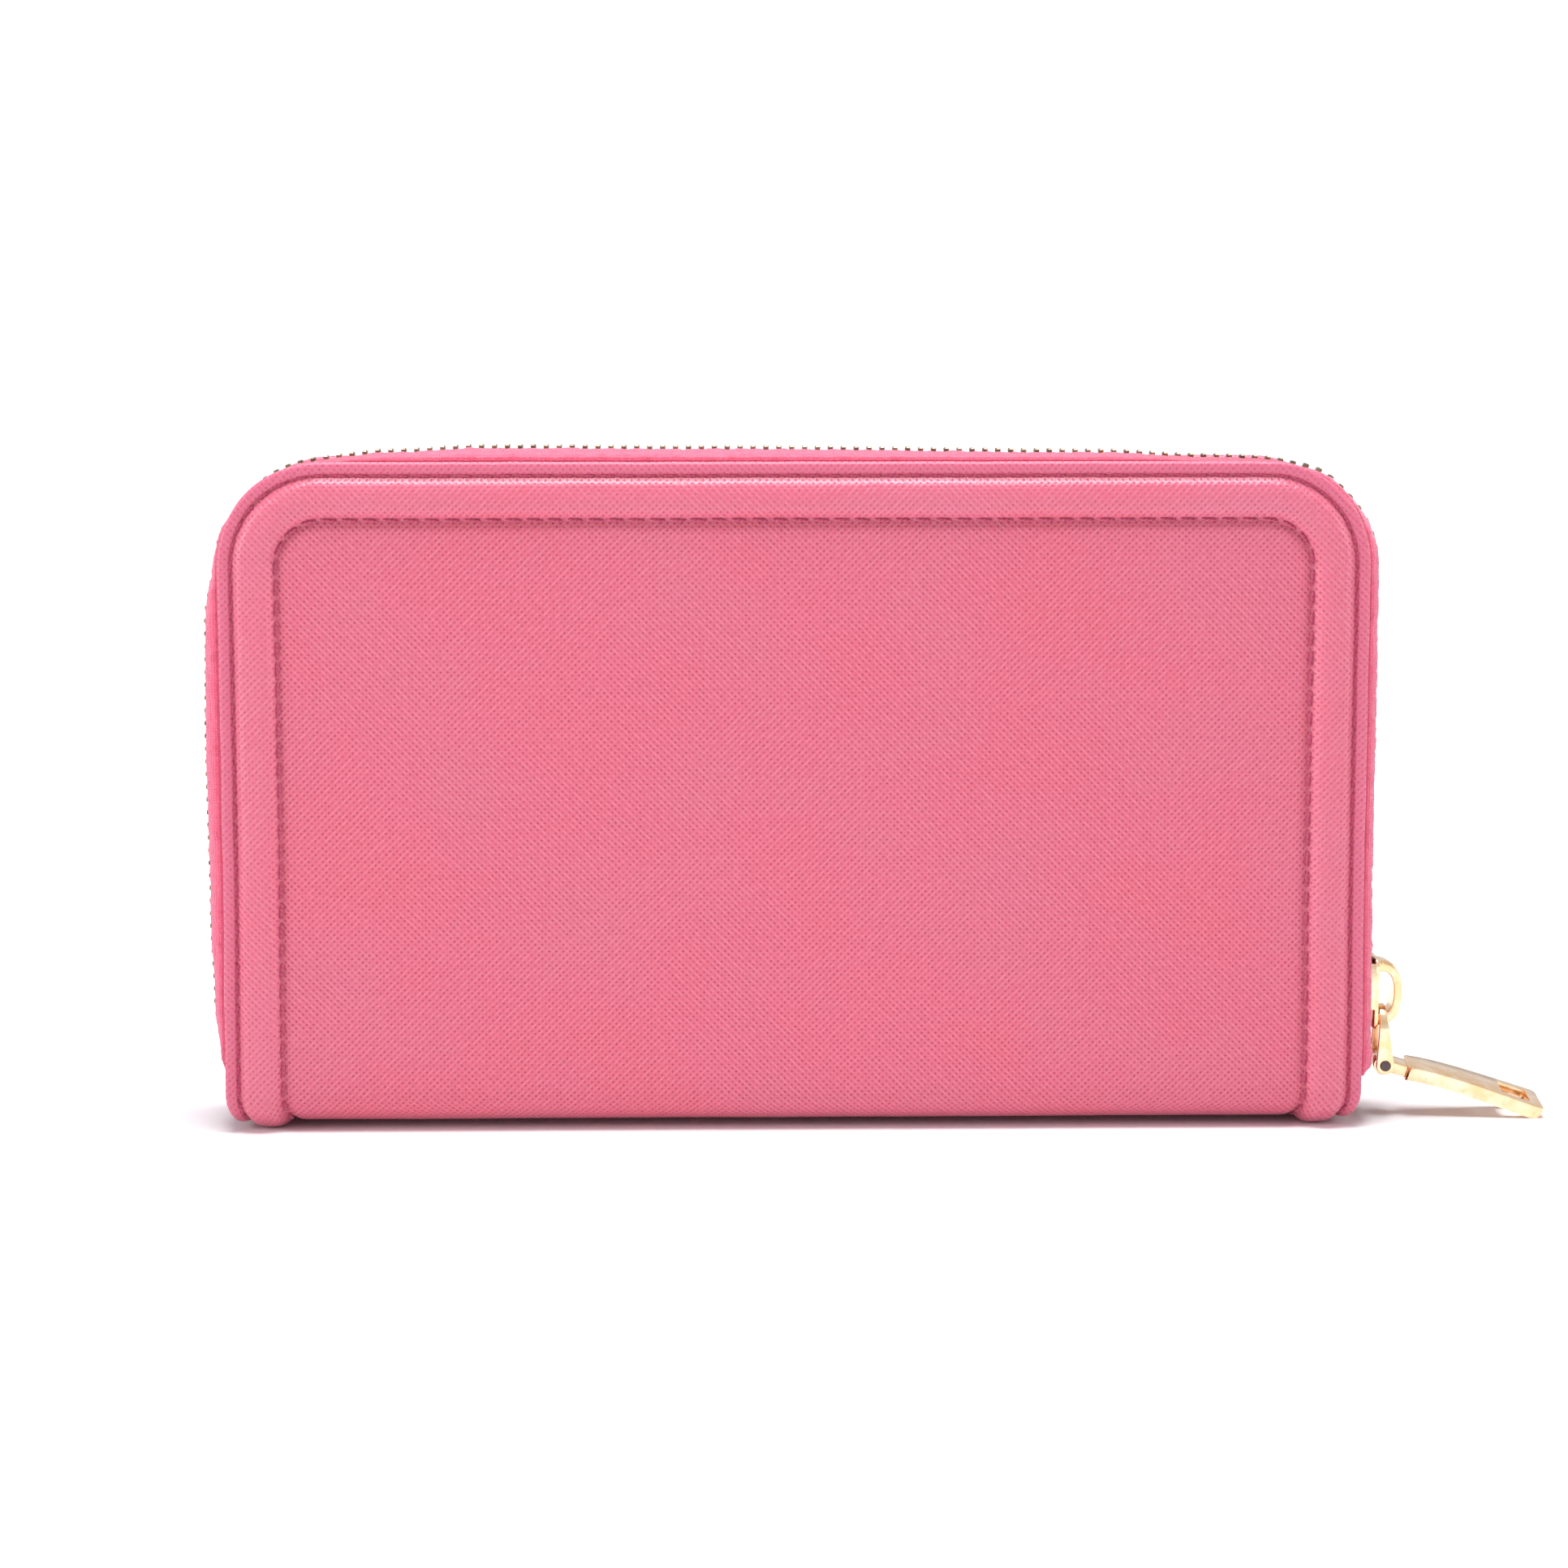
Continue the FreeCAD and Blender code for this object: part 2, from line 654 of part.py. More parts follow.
legs = []
for side in ("back", "front"):
    legY = layer(side, "legIn", "legOut")
    legs += [
        block(("pullX - legHalf", "pullX + legHalf"), legY, ("pinZ", "barZ")),
        rod("legHalf", "pullX", legY, "barZ"),
        rod("legEnd", "pullX", legY, "pinZ"),
    ]
bar = rod("barRadius", "pullX", both("legOut"), "barZ")
pinHole = rod("pinRadius", "pullX", both("pinHalf"), "pinZ")
keep("pull_link", cut(fuse([*legs, bar]), pinHole))
keep("pull_pin", rod("pinRadius", "pullX", both("pinHalf"), "pinZ"))

tab = newBody("pull_tab")
middleOfTab = "-tabThick / 2"
pad(tab, taperedOutline(tab, "XY_Plane", ("neckLength", "0", middleOfTab), "tabLength - neckLength",
                        "shoulderHalf", "tipHalf"), "tabThick")
blade = pad(tab, taperedOutline(tab, "XY_Plane", ("0", "0", middleOfTab), "neckLength + overrun",
                                "neckHalf", "neckHalf"), "tabThick")
tipCorners = [
    f"Edge{number}" for number, edge in enumerate(tab.Shape.Edges, start=1)
    if edge.BoundBox.ZLength > size("tabThick") - 0.01 and edge.BoundBox.XMin > size("tabLength") - 0.01]
rounded = tab.newObject("PartDesign::Fillet", "TipCorners")
rounded.Base = (blade, tipCorners)
bind(rounded, "Radius", "tipRadius")
doc.recompute()
pad(tab, circleOutline(tab, "XZ_Plane", "barrelRadius"), "2 * neckHalf", middle=True)
pocket(tab, circleOutline(tab, "XZ_Plane", "boreRadius"))
pocket(tab, taperedOutline(tab, "XY_Plane", ("windowStart", "0", middleOfTab), "windowLength",
                           "windowHalf", "windowHalf"))
tab.Placement = Placement(Vector(size("pullX"), 0, size("pinZ")), Rotation(Vector(0, 1, 0), tabSlope))

# ---- the coin zip's slider and its pull ----

coinX = "coinSliderIn", "coinSliderOut"
coinBody = fuse([
    block(coinX, both("coinPlateHalf"), ("coinPlateFoot", "coinPlateTop")),
    block(coinX, both("coinLowerHalf"), ("coinLowerFoot", "coinLowerTop")),
    block(("coinPostIn", "coinPostOut"), both("lugHalf"), ("coinLowerTop", "coinPlateFoot")),
    block(coinX, ("-coinPlateHalf", "-coinFlangeIn"), ("coinFlangeFoot", "coinPlateFoot")),
    block(coinX, ("coinFlangeIn", "coinPlateHalf"), ("coinFlangeFoot", "coinPlateFoot")),
    block(("lugIn", "lugOut"), both("lugHalf"), ("coinPlateTop", "lugTop"))])
keep("coin_slider", cut(coinBody, rod("coinBoreRadius", "coinPinX", both("coinPlateHalf"), "coinPinZ")))
pullZ = "coinPinZ - coinPullThick / 2", "coinPinZ + coinPullThick / 2"
armX = "coinPinX - coinPullThick", "coinPullStart + coinArmLap"
keep("coin_pull", fuse([
    block(armX, ("-coinArmOut", "-coinArmIn"), pullZ),
    block(armX, ("coinArmIn", "coinArmOut"), pullZ),
    block(("coinPullStart", "coinPullEnd"), both("coinPullHalf"), pullZ),
    rod("coinPinRadius", "coinPinX", both("coinArmOut"), "coinPinZ")]))

# ---- check and write ----

doc.recompute()
faults = [thing.Label for thing in doc.Objects if {"Invalid", "Error"} & set(thing.State)]
faults += [name for name, thing in nodes.items() if thing.Shape.isNull() or not thing.Shape.isValid()]
faults += [name for name, thing in nodes.items() if thing.Shape.Volume < 0.1]
if faults:
    raise RuntimeError(f"not built: {faults}")

os.makedirs("parts", exist_ok=True)
for name, thing in nodes.items():
    thing.Shape.exportStep(f"parts/{name}.step")
    print(name, round(thing.Shape.Volume, 1), "mm3,", len(thing.Shape.Solids), "solids")
print(len(nodes), "pieces")
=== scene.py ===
import math

import bpy
from mathutils import Matrix, Vector, noise


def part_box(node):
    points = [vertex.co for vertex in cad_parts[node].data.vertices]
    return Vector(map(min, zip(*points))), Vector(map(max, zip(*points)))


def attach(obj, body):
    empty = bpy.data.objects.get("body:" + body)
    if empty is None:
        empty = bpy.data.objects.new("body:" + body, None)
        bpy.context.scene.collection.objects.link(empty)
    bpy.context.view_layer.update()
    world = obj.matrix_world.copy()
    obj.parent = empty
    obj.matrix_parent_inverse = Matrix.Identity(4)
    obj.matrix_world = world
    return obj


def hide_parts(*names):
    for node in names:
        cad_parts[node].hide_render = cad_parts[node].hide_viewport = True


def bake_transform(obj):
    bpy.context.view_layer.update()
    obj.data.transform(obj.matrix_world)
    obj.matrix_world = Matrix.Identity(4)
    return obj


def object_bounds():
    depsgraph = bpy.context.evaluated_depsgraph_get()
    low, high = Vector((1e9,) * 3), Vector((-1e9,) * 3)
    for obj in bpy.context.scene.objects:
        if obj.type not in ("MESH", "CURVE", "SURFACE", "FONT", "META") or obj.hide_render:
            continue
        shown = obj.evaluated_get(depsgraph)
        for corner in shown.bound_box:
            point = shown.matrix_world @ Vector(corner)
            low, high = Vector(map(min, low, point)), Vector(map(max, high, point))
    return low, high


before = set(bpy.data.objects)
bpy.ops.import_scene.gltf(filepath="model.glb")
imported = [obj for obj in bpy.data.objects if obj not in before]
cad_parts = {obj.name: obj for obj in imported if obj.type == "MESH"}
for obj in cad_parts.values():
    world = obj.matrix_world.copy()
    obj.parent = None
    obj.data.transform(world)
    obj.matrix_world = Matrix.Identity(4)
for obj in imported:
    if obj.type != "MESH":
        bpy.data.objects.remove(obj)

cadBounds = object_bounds()
print("frame loaded:", len(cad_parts), "CAD pieces")

# The wallet's leather pieces are cut and modelled flat, then folded round the spine and sewn along
# the edge, as the real ones are. A place on the flat cover is (across, up, out): across is X, up is
# measured along the leather from the spine's centre line, out is the distance from the middle plane.
# A place on the edge is (run, inset): run goes up the left side, over the top and down the right.

wallet = {
    "cornerRadius": 0.0165,
    "spineRadius": 0.006,
    "ease": 0.0004,          # the leather stands this much past the plain edge band
    "waist": -0.0003,        # how far the sides are drawn in towards the foot
    "waistTop": 0.050,       # the drawing in starts here, as a height up the leather
    "waistFoot": 0.018,
    "heel": 0.0017,          # a further pull-in where the edge turns under the spine
    "heelTop": 0.0135,
    "heelFoot": 0.004,
    "stitchPitch": 0.00325,
    "outerSeam": 0.00205,
    "innerSeam": 0.0092,
    "bendStart": 0.003,      # heights between which the real cover's leather bends as the cover opens
    "bendEnd": 0.014,
}
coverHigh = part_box("back_edge_binding")[1]
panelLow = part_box("back_panel_leather")[0]
halfWide = coverHigh.x + wallet["ease"]
topHigh = coverHigh.z
panelFace = -panelLow.y
cornerRadius = wallet["cornerRadius"]
spineRadius = wallet["spineRadius"]
flatHalf = panelFace - spineRadius
archLength = spineRadius * math.pi / 2
topLength = flatHalf + archLength + topHigh - spineRadius
legLength = topLength - cornerRadius
bendLength = cornerRadius * math.pi / 2
crownLength = 2 * (halfWide - cornerRadius)
edgeLength = 2 * legLength + 2 * bendLength + crownLength
coverSides = {"back": -1, "front": 1}


def ease(value):
    value = min(max(value, 0.0), 1.0)
    return value * value * (3 - 2 * value)


def blendOf(stations, at):
    # a smooth run of values through (place, value) pairs
    if at <= stations[0][0]:
        return stations[0][1]
    for (a, low), (b, high) in zip(stations, stations[1:]):
        if at <= b:
            return low + (high - low) * ease((at - a) / (b - a))
    return stations[-1][1]


def grit(x, y, z, scale, seed=0.0):
    return noise.noise(Vector((x / scale + seed, y / scale - seed, z / scale + 2 * seed)))


# the flat pattern and the fold

def drawnIn(up):
    side = wallet["waist"] * ease((wallet["waistTop"] - up) / (wallet["waistTop"] - wallet["waistFoot"]))
    heel = wallet["heel"] * ease((wallet["heelTop"] - up) / (wallet["heelTop"] - wallet["heelFoot"]))
    return side + heel


def foldPoint(side, across, up, out):
    radius = spineRadius + out - panelFace
    if up < flatHalf:
        y, z = up, spineRadius - radius
    elif up < flatHalf + archLength:
        turn = (up - flatHalf) / spineRadius
        y, z = flatHalf + radius * math.sin(turn), spineRadius - radius * math.cos(turn)
    else:
        y, z = out, up - flatHalf - archLength + spineRadius
    return Vector((across * (1 - drawnIn(up) / halfWide), side * y, z))


def edgePoint(run, inset):
    radius = cornerRadius - inset
    if run < legLength:
        return -(halfWide - inset), run
    if run < legLength + bendLength:
        turn = (run - legLength) / cornerRadius
        return (-(halfWide - cornerRadius) - radius * math.cos(turn), legLength + radius * math.sin(turn))
    if run < legLength + bendLength + crownLength:
        return run - legLength - bendLength - crownLength / 2, topLength - inset
    across, up = edgePoint(edgeLength - run, inset)
    return -across, up


def runFor(length, inset):
    # the run at which a seam sewn at this inset has this length behind it
    bend = (cornerRadius - inset) * math.pi / 2
    if length < legLength:
        return length
    if length < legLength + bend:
        return legLength + (length - legLength) * bendLength / bend
    if length < legLength + bend + crownLength:
        return length + bendLength - bend
    return edgeLength - runFor(seamLength(inset) - length, inset)


def lengthFor(run, inset):
    bend = (cornerRadius - inset) * math.pi / 2
    if run < legLength:
        return run
    if run < legLength + bendLength:
        return legLength + (run - legLength) * bend / bendLength
    if run < legLength + bendLength + crownLength:
        return run + bend - bendLength
    return seamLength(inset) - lengthFor(edgeLength - run, inset)


def seamLength(inset):
    return edgeLength - 2 * bendLength + math.pi * (cornerRadius - inset)


def softProfile(points):
    # a smooth section through (inset, out) points given in millimetres
    points = [Vector((a, b)) * 0.001 for a, b in points]
    lengths = [0.0]
    for a, b in zip(points, points[1:]):
        lengths.append(lengths[-1] + (b - a).length)

    def at(share):
        place = min(max(share, 0.0), 1.0) * lengths[-1]
        index = 0
        while index < len(points) - 2 and place > lengths[index + 1]:
            index += 1
        t = (place - lengths[index]) / (lengths[index + 1] - lengths[index])
        p1, p2 = points[index], points[index + 1]
        p0 = points[index - 1] if index else 2 * p1 - p2
        p3 = points[index + 2] if index + 2 < len(points) else 2 * p2 - p1
        return 0.5 * (2 * p1 + (p2 - p0) * t + (2 * p0 - 5 * p1 + 4 * p2 - p3) * t * t
                      + (3 * p1 - p0 - 3 * p2 + p3) * t ** 3)
    return at


# modelling helpers

def useOnly(piece):
    bpy.ops.object.select_all(action="DESELECT")
    piece.select_set(True)
    bpy.context.view_layer.objects.active = piece


def settle(piece, name=None):
    useOnly(piece)
    bpy.ops.object.transform_apply(location=True, rotation=True, scale=True)
    if name:
        piece.name = piece.data.name = name
    return piece


def modify(piece, kind, **values):
    useOnly(piece)
    step = piece.modifiers.new(kind.title(), kind)
    for key, value in values.items():
        setattr(step, key, value)
    bpy.ops.object.modifier_apply(modifier=step.name)
    return piece


def inEdit(piece, *steps):
    useOnly(piece)
    bpy.ops.object.mode_set(mode="EDIT")
    bpy.ops.mesh.select_all(action="SELECT")
    for step in steps:
        step()
    bpy.ops.object.mode_set(mode="OBJECT")
    return piece


def mergeAndFace(piece, gap=2e-6):
    return inEdit(
        piece, lambda: bpy.ops.mesh.remove_doubles(threshold=gap),
        lambda: bpy.ops.mesh.normals_make_consistent(inside=False))


def capEnds(piece):
    return inEdit(
        piece, lambda: bpy.ops.mesh.remove_doubles(threshold=2e-6),
        lambda: bpy.ops.mesh.select_all(action="DESELECT"),
        lambda: bpy.ops.mesh.select_non_manifold(extend=False),
        lambda: bpy.ops.mesh.edge_face_add(),
        lambda: bpy.ops.mesh.select_all(action="SELECT"),
        lambda: bpy.ops.mesh.normals_make_consistent(inside=False))


def smoothed(piece, degrees=40):
    useOnly(piece)
    bpy.ops.object.shade_smooth_by_angle(angle=math.radians(degrees))
    return piece


def flatGrid(name, stepsX, stepsY):
    # a unit square that the code then lays out
    bpy.ops.object.select_all(action="DESELECT")
    bpy.ops.mesh.primitive_grid_add(x_subdivisions=stepsX, y_subdivisions=stepsY, size=1)
    piece = bpy.context.object
    piece.location = (0.5, 0.5, 0)
    return settle(piece, name)


def addCube(name, low, high):
    bpy.ops.object.select_all(action="DESELECT")
    bpy.ops.mesh.primitive_cube_add(size=1, location=(Vector(low) + Vector(high)) / 2)
    piece = bpy.context.object
    piece.scale = Vector(high) - Vector(low)
    return settle(piece, name)


def addRod(name, start, end, radius, sides=32):
    axis = Vector(end) - Vector(start)
    bpy.ops.object.select_all(action="DESELECT")
    bpy.ops.mesh.primitive_cylinder_add(
        vertices=sides, radius=radius, depth=axis.length, location=(Vector(start) + Vector(end)) / 2,
        rotation=axis.to_track_quat("Z", "Y").to_euler())
    return settle(bpy.context.object, name)


def joined(name, pieces):
    bpy.ops.object.select_all(action="DESELECT")
    for piece in pieces:
        piece.select_set(True)
    bpy.context.view_layer.objects.active = pieces[0]
    bpy.ops.object.join()
    pieces[0].name = pieces[0].data.name = name
    return pieces[0]


def layOut(piece, place):
    # moves every point to its place, and keeps the flat pattern and the seam run as two maps
    mesh = piece.data
    while mesh.uv_layers:
        mesh.uv_layers.remove(mesh.uv_layers[0])
    for name in ("grainMap", "seamMap"):
        mesh.uv_layers.new(name=name)
    placed = [place(*vertex.co) for vertex in mesh.vertices]
    for vertex, (point, _, _) in zip(mesh.vertices, placed):
        vertex.co = point
    grain, seam = mesh.uv_layers["grainMap"].data, mesh.uv_layers["seamMap"].data
    for loop in mesh.loops:
        _, onCover, onEdge = placed[loop.vertex_index]
        grain[loop.index].uv = onCover
        seam[loop.index].uv = onEdge
    mesh.update()
    return piece


def faceOut(piece, side):
    # an open sheet's faces are turned to look out of the cover
    middle = min(piece.data.polygons, key=lambda face: abs(face.center.z - 0.06) + abs(face.center.x))
    if middle.normal.y * side < 0:
        inEdit(piece, lambda: bpy.ops.mesh.flip_normals())
    return piece


def edgeStrip(name, side, profile, alongStep, across, runs=(0.0, edgeLength), relief=None, sway=None):
    # a strip with this section that follows the cover's edge between two runs
    start, end = runs
    section = [profile(number / across) for number in range(across + 1)]
    piece = flatGrid(name, max(8, round((end - start) / alongStep)), across)

    def place(a, b, _):
        run = start + a * (end - start)
        inset, out = section[min(across, max(0, round(b * across)))]
        if sway:
            inset, out = sway(run, inset, out)
        if relief:
            out += relief(run, inset)
        x, up = edgePoint(run, inset)
        return foldPoint(side, x, up, out), (x, up), (run, inset)
    return layOut(piece, place)


def finishPiece(piece, material, body=None, cover=None, replaces=()):
    piece.data.materials.clear()
    piece.data.materials.append(material)
    if cover:
        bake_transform(piece)
    else:
        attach(piece, body)
    if replaces:
        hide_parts(*replaces)
    return piece


# shader node helpers

def newMaterial(name):
    material = bpy.data.materials.new(name)
    material.use_nodes = True
    shader = material.node_tree.nodes["Principled BSDF"]
    return material, material.node_tree, shader


def addNode(tree, kind, **values):
    node = tree.nodes.new(kind)
    for key, value in values.items():
        if key.startswith("in_"):
            name = key[3:].replace("_", " ")
            socket = next(s for s in node.inputs if s.name == name and s.enabled)
            if isinstance(value, bpy.types.NodeSocket):
                tree.links.new(value, socket)
            else:
                socket.default_value = value
        else:
            setattr(node, key, value)
    return node


def calc(tree, operation, *values, clamp=False):
    node = tree.nodes.new("ShaderNodeMath")
    node.operation = operation
    node.use_clamp = clamp
    for socket, value in zip(node.inputs, values):
        if isinstance(value, bpy.types.NodeSocket):
            tree.links.new(value, socket)
        else:
            socket.default_value = value
    return node.outputs[0]


def band(tree, value, low, high, toLow=0.0, toHigh=1.0):
    node = tree.nodes.new("ShaderNodeMapRange")
    node.interpolation_type = "SMOOTHSTEP"
    tree.links.new(value, node.inputs["Value"])
    for name, number in zip(("From Min", "From Max", "To Min", "To Max"), (low, high, toLow, toHigh)):
        node.inputs[name].default_value = number
    return node.outputs[0]


def mixColour(tree, share, first, second, kind="MIX"):
    node = tree.nodes.new("ShaderNodeMix")
    node.data_type = "RGBA"
    node.blend_type = kind
    for socket, value in zip((node.inputs["Factor"], node.inputs[6], node.inputs[7]),
                             (share, first, second)):
        if isinstance(value, bpy.types.NodeSocket):
            tree.links.new(value, socket)
        else:
            socket.default_value = value
    return node.outputs[2]


def colour(red, green, blue):
    # a screen colour, 0 to 255, as the shader's linear one
    def linear(value):
        value /= 255
        return value / 12.92 if value <= 0.04045 else ((value + 0.055) / 1.055) ** 2.4
    return linear(red), linear(green), linear(blue), 1.0


def cloudy(tree, vector, scale, detail=3.0, rough=0.55):
    node = addNode(tree, "ShaderNodeTexNoise", in_Vector=vector, in_Scale=scale, in_Detail=detail,
                   in_Roughness=rough)
    return node.outputs["Fac"]


def newGroup(name, inputs, outputs):
    group = bpy.data.node_groups.new(name, "ShaderNodeTree")
    kinds = {"vector": "NodeSocketVector", "value": "NodeSocketFloat", "colour": "NodeSocketColor"}
    for label, kind, default in inputs:
        socket = group.interface.new_socket(name=label, in_out="INPUT", socket_type=kinds[kind])
        if default is not None:
            socket.default_value = default
    for label, kind in outputs:
        group.interface.new_socket(name=label, in_out="OUTPUT", socket_type=kinds[kind])
    return group, group.nodes.new("NodeGroupInput").outputs, group.nodes.new("NodeGroupOutput").inputs


def useGroup(tree, group, **values):
    node = tree.nodes.new("ShaderNodeGroup")
    node.node_tree = group
    for name, value in values.items():
        socket = node.inputs[name]
        if isinstance(value, bpy.types.NodeSocket):
            tree.links.new(value, socket)
        else:
            socket.default_value = value
    return node.outputs


def bumped(tree, shader, height, distance, strength=1.0):
    node = addNode(tree, "ShaderNodeBump", in_Height=height, in_Distance=distance, in_Strength=strength)
    tree.links.new(node.outputs["Normal"], shader.inputs["Normal"])


def mapOf(tree, name):
    return addNode(tree, "ShaderNodeUVMap", uv_map=name).outputs["UV"]


def objectPlace(tree):
    return tree.nodes.new("ShaderNodeTexCoord").outputs["Object"]


# shared effects

crossing = {
    "pitch": 0.00113,        # between neighbouring pits
    "wander": 0.00017,       # how far the lattice strays from true
    "driftScale": 420.0,
    "patchScale": 700.0,
    "dashScale": 1100.0,
    "leanScale": 26.0,       # the raised lines change diagonals in patches of this scale
    "fineScale": 5200.0,
    "pitEdge": (0.22, 0.85),
    "ridgeEdge": (0.8, 1.0),
    "pitDeep": -0.8,
    "ridgeHigh": 0.35,
    "fineHigh": 0.18,
}


def makeCrossGrain():
    # pressed cross-grain: fine pits on a diagonal lattice with short raised lines between them
    group, given, out = newGroup(
        "crossGrain", [("Vector", "vector", None), ("Pitch", "value", crossing["pitch"]),
                       ("Wander", "value", crossing["wander"])],
        [("Height", "value"), ("Pits", "value"), ("Ridges", "value")])
    drift = addNode(group, "ShaderNodeTexNoise", in_Vector=given["Vector"],
                    in_Scale=crossing["driftScale"], in_Detail=1.0)
    centred = addNode(group, "ShaderNodeVectorMath", operation="SUBTRACT")
    group.links.new(drift.outputs["Color"], centred.inputs[0])
    centred.inputs[1].default_value = (0.5, 0.5, 0.5)
    scaled = addNode(group, "ShaderNodeVectorMath", operation="SCALE", in_Scale=given["Wander"])
    group.links.new(centred.outputs[0], scaled.inputs[0])
    moved = addNode(group, "ShaderNodeVectorMath", operation="ADD")
    group.links.new(given["Vector"], moved.inputs[0])
    group.links.new(scaled.outputs[0], moved.inputs[1])
    parts = addNode(group, "ShaderNodeSeparateXYZ", in_Vector=moved.outputs[0]).outputs
    rate = calc(group, "DIVIDE", math.pi, given["Pitch"])
    waves = []
    for operation in ("ADD", "SUBTRACT"):
        sweep = calc(group, "MULTIPLY", calc(group, operation, parts["X"], parts["Y"]), rate)
        waves.append(calc(group, "ABSOLUTE", calc(group, "SINE", sweep)))
    near = calc(group, "SQRT", calc(group, "ADD", calc(group, "POWER", waves[0], 2.0),
                                    calc(group, "POWER", waves[1], 2.0)))
    patchy = band(group, cloudy(group, given["Vector"], crossing["patchScale"], 2.0), 0.36, 0.6, 0.5, 1.0)
    pits = calc(group, "MULTIPLY", band(group, near, *crossing["pitEdge"], 1.0, 0.0), patchy)
    dashes = band(group, cloudy(group, given["Vector"], crossing["dashScale"], 1.0), 0.4, 0.6, 0.25, 1.0)
    leaning = band(group, cloudy(group, given["Vector"], crossing["leanScale"], 1.0), 0.42, 0.58)
    upward = calc(group, "MULTIPLY", band(group, waves[1], *crossing["ridgeEdge"]), leaning)
    downward = calc(group, "MULTIPLY", band(group, waves[0], *crossing["ridgeEdge"]),
                    calc(group, "SUBTRACT", 1.0, leaning))
    ridges = calc(group, "MULTIPLY", calc(group, "ADD", upward, downward), dashes)
    height = calc(group, "ADD", calc(group, "MULTIPLY", pits, crossing["pitDeep"]),
                  calc(group, "MULTIPLY", ridges, crossing["ridgeHigh"]))
    fine = calc(group, "MULTIPLY", cloudy(group, given["Vector"], crossing["fineScale"], 2.0),
                crossing["fineHigh"])
    group.links.new(calc(group, "ADD", height, fine), out["Height"])
    group.links.new(pits, out["Pits"])
    group.links.new(ridges, out["Ridges"])
    return group


def makeDyed():
    # an uneven dye: slow clouds of a second colour and a fine speckle
    group, given, out = newGroup(
        "dyed", [("Vector", "vector", None), ("Colour", "colour", None), ("Cloud", "colour", None),
                 ("Amount", "value", 0.5), ("Scale", "value", 60.0)],
        [("Colour", "colour"), ("Clouds", "value")])
    clouds = addNode(group, "ShaderNodeTexNoise", in_Vector=given["Vector"], in_Scale=given["Scale"],
                     in_Detail=4.0, in_Roughness=0.6).outputs["Fac"]
    share = calc(group, "MULTIPLY", band(group, clouds, 0.32, 0.68), given["Amount"])
    group.links.new(mixColour(group, share, given["Colour"], given["Cloud"]), out["Colour"])
    group.links.new(clouds, out["Clouds"])
    return group


def makeWeave():
    # over-and-under threads along the two directions of a flat map
    group, given, out = newGroup(
        "weave", [("Vector", "vector", None), ("Pitch", "value", 0.0004)],
        [("Height", "value"), ("Gaps", "value")])
    parts = addNode(group, "ShaderNodeSeparateXYZ", in_Vector=given["Vector"]).outputs
    rate = calc(group, "DIVIDE", math.pi, given["Pitch"])
    along = calc(group, "SINE", calc(group, "MULTIPLY", parts["X"], rate))
    over = calc(group, "SINE", calc(group, "MULTIPLY", parts["Y"], rate))
    checks = calc(group, "MULTIPLY", along, over)
    gaps = band(group, calc(group, "ABSOLUTE", checks), 0.0, 0.25, 1.0, 0.0)
    height = calc(group, "SUBTRACT", calc(group, "ABSOLUTE", checks), calc(group, "MULTIPLY", gaps, 0.3))
    group.links.new(height, out["Height"])
    group.links.new(gaps, out["Gaps"])
    return group


handling = {
    "smearScale": 320.0,
    "smearBand": (0.35, 0.7),
    "smearShare": 0.6,
    "scratchScale": (400.0, 9000.0, 5000.0),
    "scratchBand": (0.62, 0.72),
    "scratchShare": 0.4,
    "speckScale": 1400.0,
    "speckBand": (0.66, 0.74),
}


def makeHandled():
    # what handling leaves on polished metal: soft smears and fine scratches
    group, given, out = newGroup(
        "handled", [("Vector", "vector", None), ("Polish", "value", 0.16), ("Dull", "value", 0.34)],
        [("Roughness", "value"), ("Height", "value"), ("Smears", "value")])
    smears = band(group, cloudy(group, given["Vector"], handling["smearScale"], 4.0), *handling["smearBand"])
    stretch = addNode(group, "ShaderNodeVectorMath", operation="MULTIPLY")
    group.links.new(given["Vector"], stretch.inputs[0])
    stretch.inputs[1].default_value = handling["scratchScale"]
    hair = addNode(group, "ShaderNodeTexNoise", in_Vector=stretch.outputs[0], in_Scale=1.0, in_Detail=2.0)
    scratches = band(group, hair.outputs["Fac"], *handling["scratchBand"])
    span = calc(group, "SUBTRACT", given["Dull"], given["Polish"])
    marks = calc(group, "ADD", calc(group, "MULTIPLY", smears, handling["smearShare"]),
                 calc(group, "MULTIPLY", scratches, handling["scratchShare"]))
    dulled = calc(group, "ADD", given["Polish"], calc(group, "MULTIPLY", marks, span))
    group.links.new(dulled, out["Roughness"])
    group.links.new(hair.outputs["Fac"], out["Height"])
    group.links.new(smears, out["Smears"])
    return group


crossGrain, dyed, weave, handled = makeCrossGrain(), makeDyed(), makeWeave(), makeHandled()


# finishes

leather = {
    "ridgeShare": 0.42,      # how far a raised line takes its own colour
    "seamShadeShare": 0.3,        # how far painted shade darkens the leather in a seam's groove, over its dark line of stitch holes
    "seamShadeBand": (0.0001, 0.0006),
    "grainDeep": 0.00014,
    "cloudShare": 0.7,
    "cloudScale": 34.0,
}


